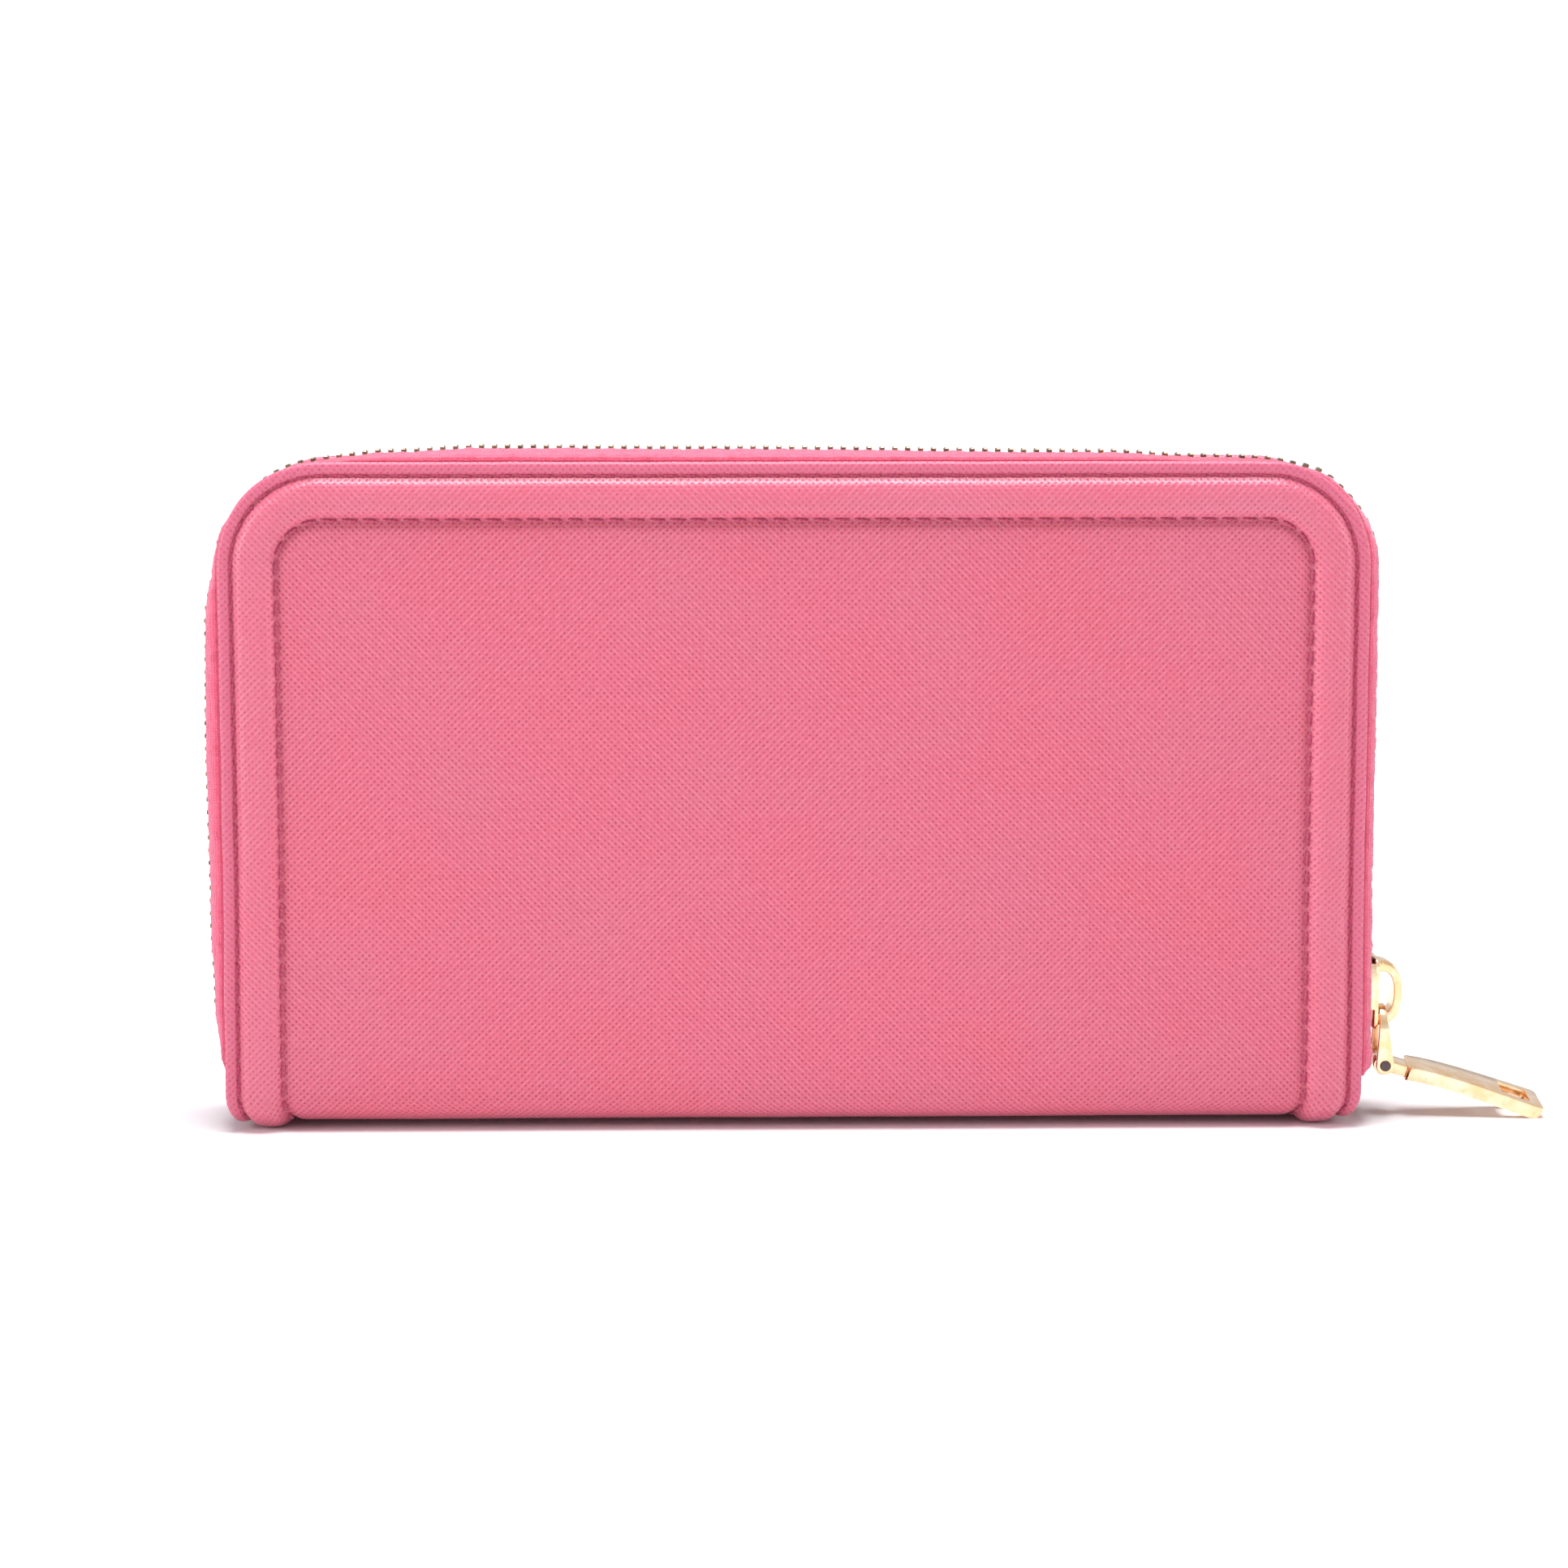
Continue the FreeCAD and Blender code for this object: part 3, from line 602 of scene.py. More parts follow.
def makeGrainLeather(name, tone, soften=1.0, seams=()):
    # seams are insets whose stitch holes and shade show on this leather
    material, tree, shader = newMaterial(name)
    flat, edge = mapOf(tree, "grainMap"), mapOf(tree, "seamMap")
    grain = useGroup(tree, crossGrain, Vector=flat)
    dye = useGroup(tree, dyed, Vector=flat, Colour=tone["base"], Cloud=tone["cloud"],
                   Amount=leather["cloudShare"], Scale=leather["cloudScale"])
    tint = mixColour(tree, calc(tree, "MULTIPLY", grain["Pits"], soften), dye["Colour"], tone["pit"])
    ridges = calc(tree, "MULTIPLY", grain["Ridges"], leather["ridgeShare"] * soften)
    tint = mixColour(tree, ridges, tint, tone["ridge"])
    height = calc(tree, "MULTIPLY", grain["Height"], soften)
    parts = addNode(tree, "ShaderNodeSeparateXYZ", in_Vector=edge).outputs
    # painted shade: a darker band along each seam's groove, over the dark line of its stitch holes
    for inset in seams:
        away = calc(tree, "SUBTRACT", parts["Y"], inset)
        shade = band(tree, calc(tree, "ABSOLUTE", away), *leather["seamShadeBand"], leather["seamShadeShare"], 0.0)
        tint = mixColour(tree, shade, tint, tone["seam"])
    tree.links.new(tint, shader.inputs["Base Color"])
    rough = calc(tree, "ADD", calc(tree, "MULTIPLY", grain["Pits"], 0.12),
                 calc(tree, "MULTIPLY", dye["Clouds"], 0.12))
    tree.links.new(calc(tree, "ADD", rough, tone["rough"]), shader.inputs["Roughness"])
    shader.inputs["Specular IOR Level"].default_value = 0.6
    shader.inputs["Sheen Weight"].default_value = 0.12
    shader.inputs["Sheen Roughness"].default_value = 0.45
    bumped(tree, shader, height, leather["grainDeep"])
    return material


smoothHide = {
    "poreScale": 1700.0,
    "poreBand": (0.1, 0.4),
    "poreShare": 0.5,
    "cloudScale": 70.0,
    "fineScale": 2600.0,
    "grainDeep": 0.00006,
}


def makeSmoothLeather(name, tone):
    material, tree, shader = newMaterial(name)
    flat = mapOf(tree, "grainMap")
    pores = addNode(tree, "ShaderNodeTexVoronoi", in_Vector=flat,
                    in_Scale=smoothHide["poreScale"]).outputs["Distance"]
    dye = useGroup(tree, dyed, Vector=flat, Colour=tone["base"], Cloud=tone["cloud"], Amount=0.6,
                   Scale=smoothHide["cloudScale"])
    holes = band(tree, pores, *smoothHide["poreBand"], smoothHide["poreShare"], 0.0)
    tree.links.new(mixColour(tree, holes, dye["Colour"], tone["pit"]), shader.inputs["Base Color"])
    tree.links.new(band(tree, dye["Clouds"], 0.3, 0.7, tone["rough"] - 0.05, tone["rough"] + 0.08),
                   shader.inputs["Roughness"])
    height = calc(tree, "ADD", calc(tree, "MULTIPLY", pores, 0.7),
                  calc(tree, "MULTIPLY", cloudy(tree, flat, smoothHide["fineScale"]), 0.5))
    bumped(tree, shader, height, smoothHide["grainDeep"])
    return material


def makeThread(name, tone):
    material, tree, shader = newMaterial(name)
    parts = addNode(tree, "ShaderNodeSeparateXYZ", in_Vector=mapOf(tree, "seamMap")).outputs
    twist = calc(tree, "ADD", calc(tree, "MULTIPLY", parts["X"], 9000.0),
                 calc(tree, "MULTIPLY", parts["Y"], 6000.0))
    ply = calc(tree, "SINE", twist)
    worn = cloudy(tree, objectPlace(tree), 900.0)
    shade = calc(tree, "ADD", band(tree, ply, -1.0, 0.2, 0.45, 0.0), calc(tree, "MULTIPLY", worn, 0.2))
    tree.links.new(mixColour(tree, shade, tone["base"], tone["dark"]), shader.inputs["Base Color"])
    shader.inputs["Roughness"].default_value = 0.62
    shader.inputs["Sheen Weight"].default_value = 0.3
    bumped(tree, shader, ply, 0.00005)
    return material


tapeWeave = {
    "pitch": 0.00045,
    "bindingShadeBand": (-0.0012, 0.0006),   # insets between which painted shade deepens the colour towards the binding
    "fluffDeep": 0.0002,
}


def makeTapeCloth(name, tone):
    # a brushed woven tape, its colour deepened by painted shade towards the seam where it comes out from
    # under the binding
    material, tree, shader = newMaterial(name)
    edge = mapOf(tree, "seamMap")
    woven = useGroup(tree, weave, Vector=edge, Pitch=tapeWeave["pitch"])
    fuzz = cloudy(tree, objectPlace(tree), 3800.0, 4.0, 0.7)
    slow = cloudy(tree, objectPlace(tree), 500.0, 3.0)
    across = addNode(tree, "ShaderNodeSeparateXYZ", in_Vector=edge).outputs["Y"]
    # painted shade where the tape goes in under the binding
    deep = band(tree, across, *tapeWeave["bindingShadeBand"])
    tint = mixColour(tree, deep, tone["base"], tone["deep"])
    tint = mixColour(tree, calc(tree, "MULTIPLY", woven["Gaps"], 0.25), tint, tone["deep"])
    tint = mixColour(tree, band(tree, fuzz, 0.5, 0.72, 0.0, 0.55), tint, tone["fluff"])
    tint = mixColour(tree, band(tree, slow, 0.5, 0.3, 0.0, 0.4), tint, tone["deep"])
    tree.links.new(tint, shader.inputs["Base Color"])
    shader.inputs["Roughness"].default_value = 0.9
    shader.inputs["Sheen Weight"].default_value = 0.7
    shader.inputs["Sheen Roughness"].default_value = 0.5
    shader.inputs["Sheen Tint"].default_value = (1.0, 0.75, 0.85, 1.0)
    height = calc(tree, "ADD", calc(tree, "MULTIPLY", woven["Height"], 0.35), fuzz)
    bumped(tree, shader, height, tapeWeave["fluffDeep"])
    return material


def makeMetal(name, tone, polish, dull, scratch=0.000004):
    material, tree, shader = newMaterial(name)
    place = objectPlace(tree)
    marks = useGroup(tree, handled, Vector=place, Polish=polish, Dull=dull)
    tint = mixColour(tree, marks["Smears"], tone["base"], tone["smear"])
    speck = band(tree, cloudy(tree, place, handling["speckScale"], 2.0), *handling["speckBand"], 0.0, 0.5)
    tree.links.new(mixColour(tree, speck, tint, tone["speck"]), shader.inputs["Base Color"])
    shader.inputs["Metallic"].default_value = 1.0
    tree.links.new(marks["Roughness"], shader.inputs["Roughness"])
    bumped(tree, shader, marks["Height"], scratch)
    return material


def makeLiningCloth(name, tone, pitch=0.00042):
    material, tree, shader = newMaterial(name)
    place = objectPlace(tree)
    turned = addNode(tree, "ShaderNodeMapping", in_Vector=place, in_Rotation=(math.pi / 2, 0, 0))
    woven = useGroup(tree, weave, Vector=turned.outputs[0], Pitch=pitch)
    dye = useGroup(tree, dyed, Vector=place, Colour=tone["base"], Cloud=tone["cloud"], Amount=0.6, Scale=80.0)
    tree.links.new(mixColour(tree, calc(tree, "MULTIPLY", woven["Gaps"], 0.6), dye["Colour"], tone["pit"]),
                   shader.inputs["Base Color"])
    shader.inputs["Roughness"].default_value = 0.82
    shader.inputs["Sheen Weight"].default_value = 0.25
    bumped(tree, shader, woven["Height"], 0.00006)
    return material


def makeFibre(name, tone, scale=2500.0):
    material, tree, shader = newMaterial(name)
    place = objectPlace(tree)
    stretch = addNode(tree, "ShaderNodeMapping", in_Vector=place, in_Scale=(0.2, 1.0, 1.0))
    fibres = cloudy(tree, stretch.outputs[0], scale, 4.0, 0.65)
    tree.links.new(mixColour(tree, band(tree, fibres, 0.35, 0.65), tone["base"], tone["cloud"]),
                   shader.inputs["Base Color"])
    tree.links.new(band(tree, fibres, 0.2, 0.8, 0.75, 0.95), shader.inputs["Roughness"])
    bumped(tree, shader, fibres, 0.00008)
    return material


# each leather's seam colour is the painted shade of its seams' grooves, over their dark stitch holes
tones = {
    "panel": {"base": colour(204, 94, 119), "cloud": colour(209, 88, 108), "pit": colour(174, 36, 77),
              "ridge": colour(232, 141, 163), "seam": colour(170, 46, 82), "rough": 0.42},
    "border": {"base": colour(206, 99, 124), "cloud": colour(210, 92, 113), "pit": colour(178, 46, 86),
               "ridge": colour(236, 148, 170), "seam": colour(170, 46, 82), "rough": 0.29},
    "binding": {"base": colour(203, 92, 120), "cloud": colour(207, 94, 122), "pit": colour(176, 46, 86),
                "ridge": colour(232, 136, 158), "seam": colour(170, 46, 82), "rough": 0.38},
    "card": {"base": colour(212, 88, 114), "cloud": colour(220, 100, 124), "pit": colour(170, 54, 84),
             "rough": 0.46},
    "thread": {"base": colour(194, 62, 102), "dark": colour(132, 28, 62)},
    "tape": {"base": colour(238, 86, 122), "deep": colour(192, 38, 74), "fluff": colour(252, 150, 176)},
    "gold": {"base": colour(240, 198, 150), "smear": colour(250, 224, 196), "speck": colour(196, 146, 92)},
    "tooth": {"base": colour(150, 128, 104), "smear": colour(104, 88, 76), "speck": colour(60, 48, 44)},
    "pin": {"base": colour(84, 74, 74), "smear": colour(104, 94, 92), "speck": colour(52, 44, 44)},
    "lining": {"base": colour(186, 96, 114), "cloud": colour(196, 108, 124), "pit": colour(120, 50, 68)},
    "board": {"base": colour(216, 210, 200), "cloud": colour(190, 182, 170)},
    "filler": {"base": colour(232, 228, 220), "cloud": colour(206, 200, 190)},
}
# the seams whose grooves get painted shade on the leather
shadedSeams = (wallet["outerSeam"], wallet["innerSeam"])
panelLeather = makeGrainLeather("panelLeather", tones["panel"], 1.0)
borderLeather = makeGrainLeather("borderLeather", tones["border"], 0.8, seams=shadedSeams)
bindingLeather = makeGrainLeather("bindingLeather", tones["binding"], 0.7, seams=(wallet["outerSeam"],))
cardLeather = makeSmoothLeather("cardLeather", tones["card"])
seamThread = makeThread("seamThread", tones["thread"])
tapeCloth = makeTapeCloth("tapeCloth", tones["tape"])
paleGold = makeMetal("paleGold", tones["gold"], 0.14, 0.3)
toothMetal = makeMetal("toothMetal", tones["tooth"], 0.25, 0.45, 0.00001)
pinSteel = makeMetal("pinSteel", tones["pin"], 0.3, 0.5)
liningCloth = makeLiningCloth("liningCloth", tones["lining"])
boardStock = makeFibre("boardStock", tones["board"])
fillerCotton = makeFibre("fillerCotton", tones["filler"], 4000.0)
print("finishes ready")


# panel: the grained leather of each cover, down to the spine's centre line

panel = {
    "inset": 0.00935,
    "thick": 0.0009,
    "stepsAcross": 176,
    "stepsUp": 128,
    "crowding": 0.55,        # how much the mesh closes up towards the sewn sides
    "seamDip": 0.00055,      # how far the leather dives into the inner seam
    "seamReach": 0.0009,
    "swell": 0.00022,        # the board under it is a touch crowned
    "swellReach": 0.03,
    "swellFoot": 0.02,
    "ripple": 0.00009,
    "rippleSize": 0.022,
    "rippleReach": 0.01,
    "pucker": 0.00003,
    "puckerReach": 0.0014,
    "puckerSplit": 0.0094,   # where the top is nearer than the side, puckers are counted up the leather
}


def panelHalf(up):
    if up <= legLength:
        return halfWide - panel["inset"]
    radius = cornerRadius - panel["inset"]
    rise = min(up - legLength, radius)
    return halfWide - cornerRadius + math.sqrt(max(0.0, radius * radius - rise * rise))


def edgeGap(across, up):
    # how far a place on the panel is from its sewn edge
    side = halfWide - cornerRadius
    if up > legLength and abs(across) > side:
        return cornerRadius - panel["inset"] - math.hypot(abs(across) - side, up - legLength)
    return min(halfWide - panel["inset"] - abs(across), topLength - panel["inset"] - up)


def makePanel(cover):
    side = coverSides[cover]
    piece = flatGrid(f"{cover}Panel", panel["stepsAcross"], panel["stepsUp"])
    tall = topLength - panel["inset"]
    crowding, seed = panel["crowding"], 3.0 * side

    def place(a, b, _):
        t = 2 * a - 1
        share = (1 - crowding) * t + crowding * math.sin(t * math.pi / 2)
        up = tall * (0.5 * b + 0.5 * math.sin(b * math.pi / 2))
        across = panelHalf(up) * share
        gap = edgeGap(across, up)
        out = panelFace - panel["seamDip"] * math.exp(-(gap / panel["seamReach"]) ** 2)
        raised = ease(gap / panel["swellReach"]) * ease((up - panel["swellFoot"]) / panel["swellReach"])
        out += panel["swell"] * raised
        ripple = grit(across, up, 0, panel["rippleSize"], seed)
        out += panel["ripple"] * ripple * ease(gap / panel["rippleReach"])
        sewn = up if gap < halfWide - abs(across) - panel["puckerSplit"] else across
        pucker = math.cos(2 * math.pi * sewn / wallet["stitchPitch"])
        out += panel["pucker"] * pucker * math.exp(-(gap / panel["puckerReach"]) ** 2)
        return foldPoint(side, across, up, out), (across, up), (up, gap + panel["inset"])
    layOut(piece, place)
    faceOut(piece, side)
    modify(piece, "SOLIDIFY", thickness=panel["thick"], offset=-1)
    smoothed(piece, 60)
    return finishPiece(piece, panelLeather, cover=cover,
                       replaces=(f"{cover}_panel_leather", "spine_leather"))


# border: a strip with a padded roll, sewn along both its edges

border = {
    "thick": 0.0007,
    "alongStep": 0.0006,
    "across": 34,
    "section": [(1.0, 11.08), (1.6, 11.12), (2.05, 11.02), (2.4, 11.2), (2.8, 11.56), (3.2, 11.95),
                (3.55, 12.2), (4.2, 12.38), (5.4, 12.5), (6.4, 12.5), (7.2, 12.38), (7.9, 12.06),
                (8.5, 11.52), (8.9, 11.08), (9.2, 10.86), (9.5, 10.78)],
    "pucker": 0.00011,
    "puckerReach": {"outerSeam": 0.0006, "innerSeam": 0.001},
    "roll": (0.0032, 0.009),  # the insets between which the filled roll is lumpy
    "rollFade": 0.001,
    "lumps": 0.00012,
    "lumpSize": 0.011,
    "smallLumps": 0.000048,
    "smallLumpSize": 0.0034,
    "sway": 0.00012,
    "swaySize": 0.017,
}


def borderRelief(run, inset):
    relief = 0.0
    for name, reach in border["puckerReach"].items():
        seam = wallet[name]
        beat = math.cos(2 * math.pi * lengthFor(run, seam) / wallet["stitchPitch"])
        relief -= border["pucker"] * (0.5 + 0.5 * beat) * math.exp(-((inset - seam) / reach) ** 2)
    low, high = border["roll"]
    onRoll = ease((inset - low) / border["rollFade"]) * ease((high - inset) / border["rollFade"])
    relief += border["lumps"] * onRoll * grit(run, inset, 0, border["lumpSize"], seed=5.0)
    relief += border["smallLumps"] * onRoll * grit(run, inset, 0, border["smallLumpSize"], seed=9.0)
    return relief


def borderSway(run, inset, out):
    return inset + border["sway"] * grit(run, 0, 0, border["swaySize"], seed=2.0), out


def makeBorder(cover):
    side = coverSides[cover]
    piece = edgeStrip(f"{cover}Border", side, softProfile(border["section"]), border["alongStep"],
                      border["across"], relief=borderRelief, sway=borderSway)
    faceOut(piece, side)
    modify(piece, "SOLIDIFY", thickness=border["thick"], offset=-1)
    smoothed(piece, 60)
    return finishPiece(piece, borderLeather, cover=cover,
                       replaces=(f"{cover}_border_leather", "left_spine_roll", "right_spine_roll"))


# filler cord inside the roll

filler = {
    "middle": (6.4, 10.75),
    "half": (1.9, 0.72),
    "sides": 12,
    "alongStep": 0.002,
}


def ringProfile(middle, half, sides):
    turns = [2 * math.pi * number / sides for number in range(sides + 1)]
    return [(middle[0] + half[0] * math.cos(turn), middle[1] + half[1] * math.sin(turn)) for turn in turns]


def makeFiller(cover):
    profile = softProfile(ringProfile(filler["middle"], filler["half"], filler["sides"]))
    piece = edgeStrip(f"{cover}Filler", coverSides[cover], profile, filler["alongStep"], filler["sides"])
    capEnds(piece)
    smoothed(piece, 60)
    return finishPiece(piece, fillerCotton, cover=cover,
                       replaces=(f"{cover}_roll_core", "left_spine_core", "right_spine_core"))


# binding: a folded strip round the raw edge

binding = {
    "alongStep": 0.0008,
    "across": 36,
    "section": [(1.7, 9.78), (1.1, 9.62), (0.42, 9.68), (0.04, 10.05), (-0.03, 10.6), (0.0, 11.1),
                (0.16, 11.46), (0.5, 11.6), (1.1, 11.62), (1.62, 11.54), (1.88, 11.36), (1.96, 11.0),
                (1.4, 10.7), (1.3, 10.2), (1.7, 9.78)],
    "lumps": 0.00009,
    "lumpSize": 0.009,
    "smallLumpSize": 0.0028,
    "press": 0.00008,        # each stitch pulls the outer fold down a little
    "pressInset": 0.0007,
    "pressFade": 0.0009,
    "outerFold": 0.0108,
}


def bindingSway(run, inset, out):
    slow = grit(run, 0, 0, binding["lumpSize"], seed=4.0)
    quick = grit(run, 0, 0, binding["smallLumpSize"], seed=6.0)
    beat = math.cos(2 * math.pi * lengthFor(run, wallet["outerSeam"]) / wallet["stitchPitch"])
    if out > binding["outerFold"]:
        reach = ease((inset - binding["pressInset"]) / binding["pressFade"])
        out -= binding["press"] * (0.5 + 0.5 * beat) * reach
    return inset + binding["lumps"] * (slow + 0.4 * quick), out + binding["lumps"] * 0.6 * quick


def makeBinding(cover):
    piece = edgeStrip(f"{cover}Binding", coverSides[cover], softProfile(binding["section"]),
                      binding["alongStep"], binding["across"], sway=bindingSway)
    capEnds(piece)
    smoothed(piece, 50)
    return finishPiece(piece, bindingLeather, cover=cover,
                       replaces=(f"{cover}_edge_binding", "left_spine_binding", "right_spine_binding"))


# stitches: one is modelled, repeated along its seam and laid in it

stitch = {
    "length": 0.00262,
    "thick": 0.00024,
    "sink": 0.00022,         # how far a stitch's ends go down into their holes
    "slant": 0.00016,        # sewing leaves each stitch a little askew
    "wobble": 0.00006,
    "wobbleSize": 0.004,
    "plump": 1.15,
    "seams": {"outer": (wallet["outerSeam"], 0.0112), "inner": (wallet["innerSeam"], 0.01112)},
}


def makeStitches(cover, seam):
    inset, out = stitch["seams"][seam]
    pitch = wallet["stitchPitch"]
    total = seamLength(inset)
    bpy.ops.object.select_all(action="DESELECT")
    bpy.ops.mesh.primitive_uv_sphere_add(segments=6, ring_count=6, radius=1)
    piece = bpy.context.object
    piece.rotation_euler = (0, math.pi / 2, 0)
    piece.scale = (stitch["thick"], stitch["thick"] * stitch["plump"], stitch["length"] / 2)
    piece.location = (pitch / 2, 0, 0)
    settle(piece, f"{cover}{seam.title()}Stitches")
    modify(piece, "ARRAY", count=int(total / pitch), use_relative_offset=False, use_constant_offset=True,
           constant_offset_displace=(pitch, 0, 0))

    def place(x, y, z):
        share = (x / pitch) % 1.0 - 0.5
        lean = stitch["slant"] * share * 2
        lean += stitch["wobble"] * grit(x, 0, 0, stitch["wobbleSize"], seed=1.0)
        run = runFor(min(max(x, 0.0), total), inset)
        depth = out + z - stitch["sink"] * (2 * share) ** 4
        across, up = edgePoint(run, inset + y + lean)
        return foldPoint(coverSides[cover], across, up, depth), (across, up), (x, y)
    layOut(piece, place)
    mergeAndFace(piece)
    smoothed(piece, 80)
    return finishPiece(piece, seamThread, cover=cover,
                       replaces=(f"{cover}_{seam}_stitching", "spine_stitching"))


for cover in coverSides:
    makePanel(cover)
    makeBorder(cover)
    makeFiller(cover)
    makeBinding(cover)
    makeStitches(cover, "outer")
    makeStitches(cover, "inner")
    print(cover, "leather folded and sewn")


# main zip: two brushed tapes that bulge out of the binding, and the chain between them

zipper = {
    # how far the chain stands out past the cover's edge, by run
    "bulge": [(0.0165, 0.0001), (0.020, 0.0014), (0.028, 0.0024), (0.042, 0.0030), (0.070, 0.0033),
              (0.090, 0.0030), (0.103, 0.0010), (0.110, -0.0002), (0.122, -0.0002), (0.136, 0.0011),
              (0.150, 0.0018), (0.190, 0.0016), (0.250, 0.0010), (0.268, 0.0002), (0.280, -0.0002),
              (0.288, 0.0010), (0.303, 0.00262), (0.379, 0.00268), (0.3822, 0.0031), (0.3838, 0.0029),
              (0.385, 0.0016)],
    # how much deeper the front row sits than the back row, by run
    "farDrop": [(0.285, 0.0009), (0.303, 0.0002)],
    "runs": (0.0168, edgeLength - 0.0158),
    "alongStep": 0.0005,
    "across": 26,
    "thick": 0.0005,
    "width": 0.012,
    "tuck": 0.0006,          # where the chain sits deep, the tape slips in behind the binding
    "shownFrom": 0.3,        # the tape comes out of the binding at this share of its width
    "shownFade": 0.1,
    "fuzz": 0.0002,
    "fuzzSize": 0.0007,
    "lumpSize": 0.0022,
    "toothPitch": 0.00208,
    "teethRuns": (0.0186, edgeLength - 0.0285),
}


def chainOut(run, cover="back"):
    return blendOf(zipper["bulge"], run) - (blendOf(zipper["farDrop"], run) if cover == "front" else 0.0)


def tapeSection(reach):
    # from the flange under the lining, out past the binding and over to the chain, in millimetres
    bulge = 1000 * reach
    hide = 1000 * max(0.0, zipper["tuck"] - reach)
    return softProfile([(3.2, 9.3), (1.4, 9.36), (0.3 + hide, 9.3), (hide - 0.25 - 0.25 * bulge, 9.05),
                        (0.5 * hide - 0.62 * bulge - 0.1, 8.0), (-0.86 * bulge, 6.2),
                        (-0.97 * bulge, 4.0), (-bulge, 2.2), (-0.93 * bulge, 0.9)])


def makeTape(cover):
    side = coverSides[cover]
    start, end = zipper["runs"]
    long = end - start
    piece = flatGrid(f"{cover}Tape", round(long / zipper["alongStep"]), zipper["across"])

    def place(a, b, _):
        run = start + a * long
        inset, out = tapeSection(chainOut(run, cover))(b)
        nap = grit(run, b * zipper["width"], side, zipper["fuzzSize"], seed=3.0)
        nap += 0.8 * grit(run, b * zipper["width"], side, zipper["lumpSize"], seed=8.0)
        fuzz = zipper["fuzz"] * nap * ease((b - zipper["shownFrom"]) / zipper["shownFade"])
        x, up = edgePoint(run, inset - fuzz)
        return foldPoint(side, x, up, out + 0.4 * fuzz), (x, up), (run, inset)
    layOut(piece, place)
    faceOut(piece, side)
    modify(piece, "SOLIDIFY", thickness=zipper["thick"], offset=-1)
    mergeAndFace(piece)
    smoothed(piece, 70)
    return finishPiece(piece, tapeCloth, body=f"{cover}_cover",
                       replaces=(f"{cover}_zip_tape",))


tooth = {
    "low": (-0.00045, -0.0007, -0.00055),
    "high": (0.00045, 0.0007, 0.00125),
    "round": 0.00016,
    "waist": (0.0002, 0.0012),  # between these heights a tooth narrows to grip the tape
    "waistShare": 0.8,
    "sunk": 0.00012,
}


def makeTeeth(cover):
    side = coverSides[cover]
    pitch = zipper["toothPitch"]
    start, end = zipper["teethRuns"]
    piece = addCube(f"{cover}Teeth", tooth["low"], tooth["high"])
    modify(piece, "BEVEL", width=tooth["round"], segments=1)
    for vertex in piece.data.vertices:
        if tooth["waist"][0] < vertex.co.z < tooth["waist"][1]:
            vertex.co.x *= tooth["waistShare"]
    # the two rows stand half a pitch apart, so that they mesh
    piece.location = (0.25 * pitch if cover == "back" else 0.75 * pitch, 0, 0)
    settle(piece)
    modify(piece, "ARRAY", count=int((end - start) / pitch), use_relative_offset=False,
           use_constant_offset=True, constant_offset_displace=(pitch, 0, 0))

    def place(x, y, z):
        centre = start + (math.floor(x / pitch) + 0.5) * pitch
        across, up = edgePoint(start + x, y + tooth["sunk"] - chainOut(centre, cover))
        return foldPoint(side, across, up, z), (across, up), (start + x, y)
    layOut(piece, place)
    mergeAndFace(piece, 1e-7)
    smoothed(piece, 30)
    return finishPiece(piece, toothMetal, body=f"{cover}_cover", replaces=(f"{cover}_zip_teeth",))


for cover in coverSides:
    makeTape(cover)
    makeTeeth(cover)
    print(cover, "zip sewn in")


# zip slider: two rounded plates joined by a post, edge flanges and a D-shaped bridge

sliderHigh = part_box("slider_body")[1]
slider = {
    "outerFace": 0.0960,     # the chain stands proud here, and the plates grip it from both sides
    "innerFace": 0.0926,
    "plate": 0.0007,
    "foot": 0.0134,
    "head": 0.0254,
    "half": 0.004,
    "footHalf": 0.0031,
    "corner": 0.0014,
    "flange": (0.0034, 0.00384),
    "flangeDeep": 0.00168,
    "flangeFoot": 0.0169,
    "flangeHead": 0.0246,
    "post": (0.0144, 0.0174),
    "postHalf": 0.0006,
    "postRound": 0.0005,
    "soften": 0.00014,
    "bridgeHalf": 0.0022,
    "bridgeLow": 0.0141,
    "bridgeHigh": 0.0249,
    "bridgeRoot": 0.0956,
    "bridgeThick": 0.0014,
    "bridgeSwell": 0.0006,   # it thickens by this much at its roots
    "bridgeEnd": 0.0009,
    "bridgeRound": (0.66, 0.8),
    "slit": 0.0968,          # where the sprung cap meets the bridge
    "slitGap": 0.00008,
    "slitReach": 0.0003,
}


def roundEdges(piece, pick, width, segments=6):
    # bevels the edges that the pick function chooses by their two ends
    useOnly(piece)
    mesh = piece.data
    for part in (mesh.vertices, mesh.edges, mesh.polygons):
        part.foreach_set("select", [False] * len(part))
    for edge in mesh.edges:
        edge.select = pick(*(mesh.vertices[index].co for index in edge.vertices))
    bpy.context.tool_settings.mesh_select_mode = (False, True, False)
    bpy.ops.object.mode_set(mode="EDIT")
    bpy.ops.mesh.bevel(offset=width, segments=segments, affect="EDGES")
    bpy.ops.object.mode_set(mode="OBJECT")
    bpy.context.tool_settings.mesh_select_mode = (True, False, False)
    return piece


def along(axis, reach=0.9):
    return lambda a, b: abs((b - a)[axis]) > reach * (b - a).length


def shielded(piece):
    # the slider's plates narrow towards the closed end of the chain
    for vertex in piece.data.vertices:
        if vertex.co.z < (slider["foot"] + slider["head"]) / 2:
            vertex.co.y *= slider["footHalf"] / slider["half"]
    return roundEdges(piece, along(0), slider["corner"])


strip = {
    "lookAhead": 0.002,
    "squareness": 0.22,
    "mapSize": (0.02, 0.006),
}


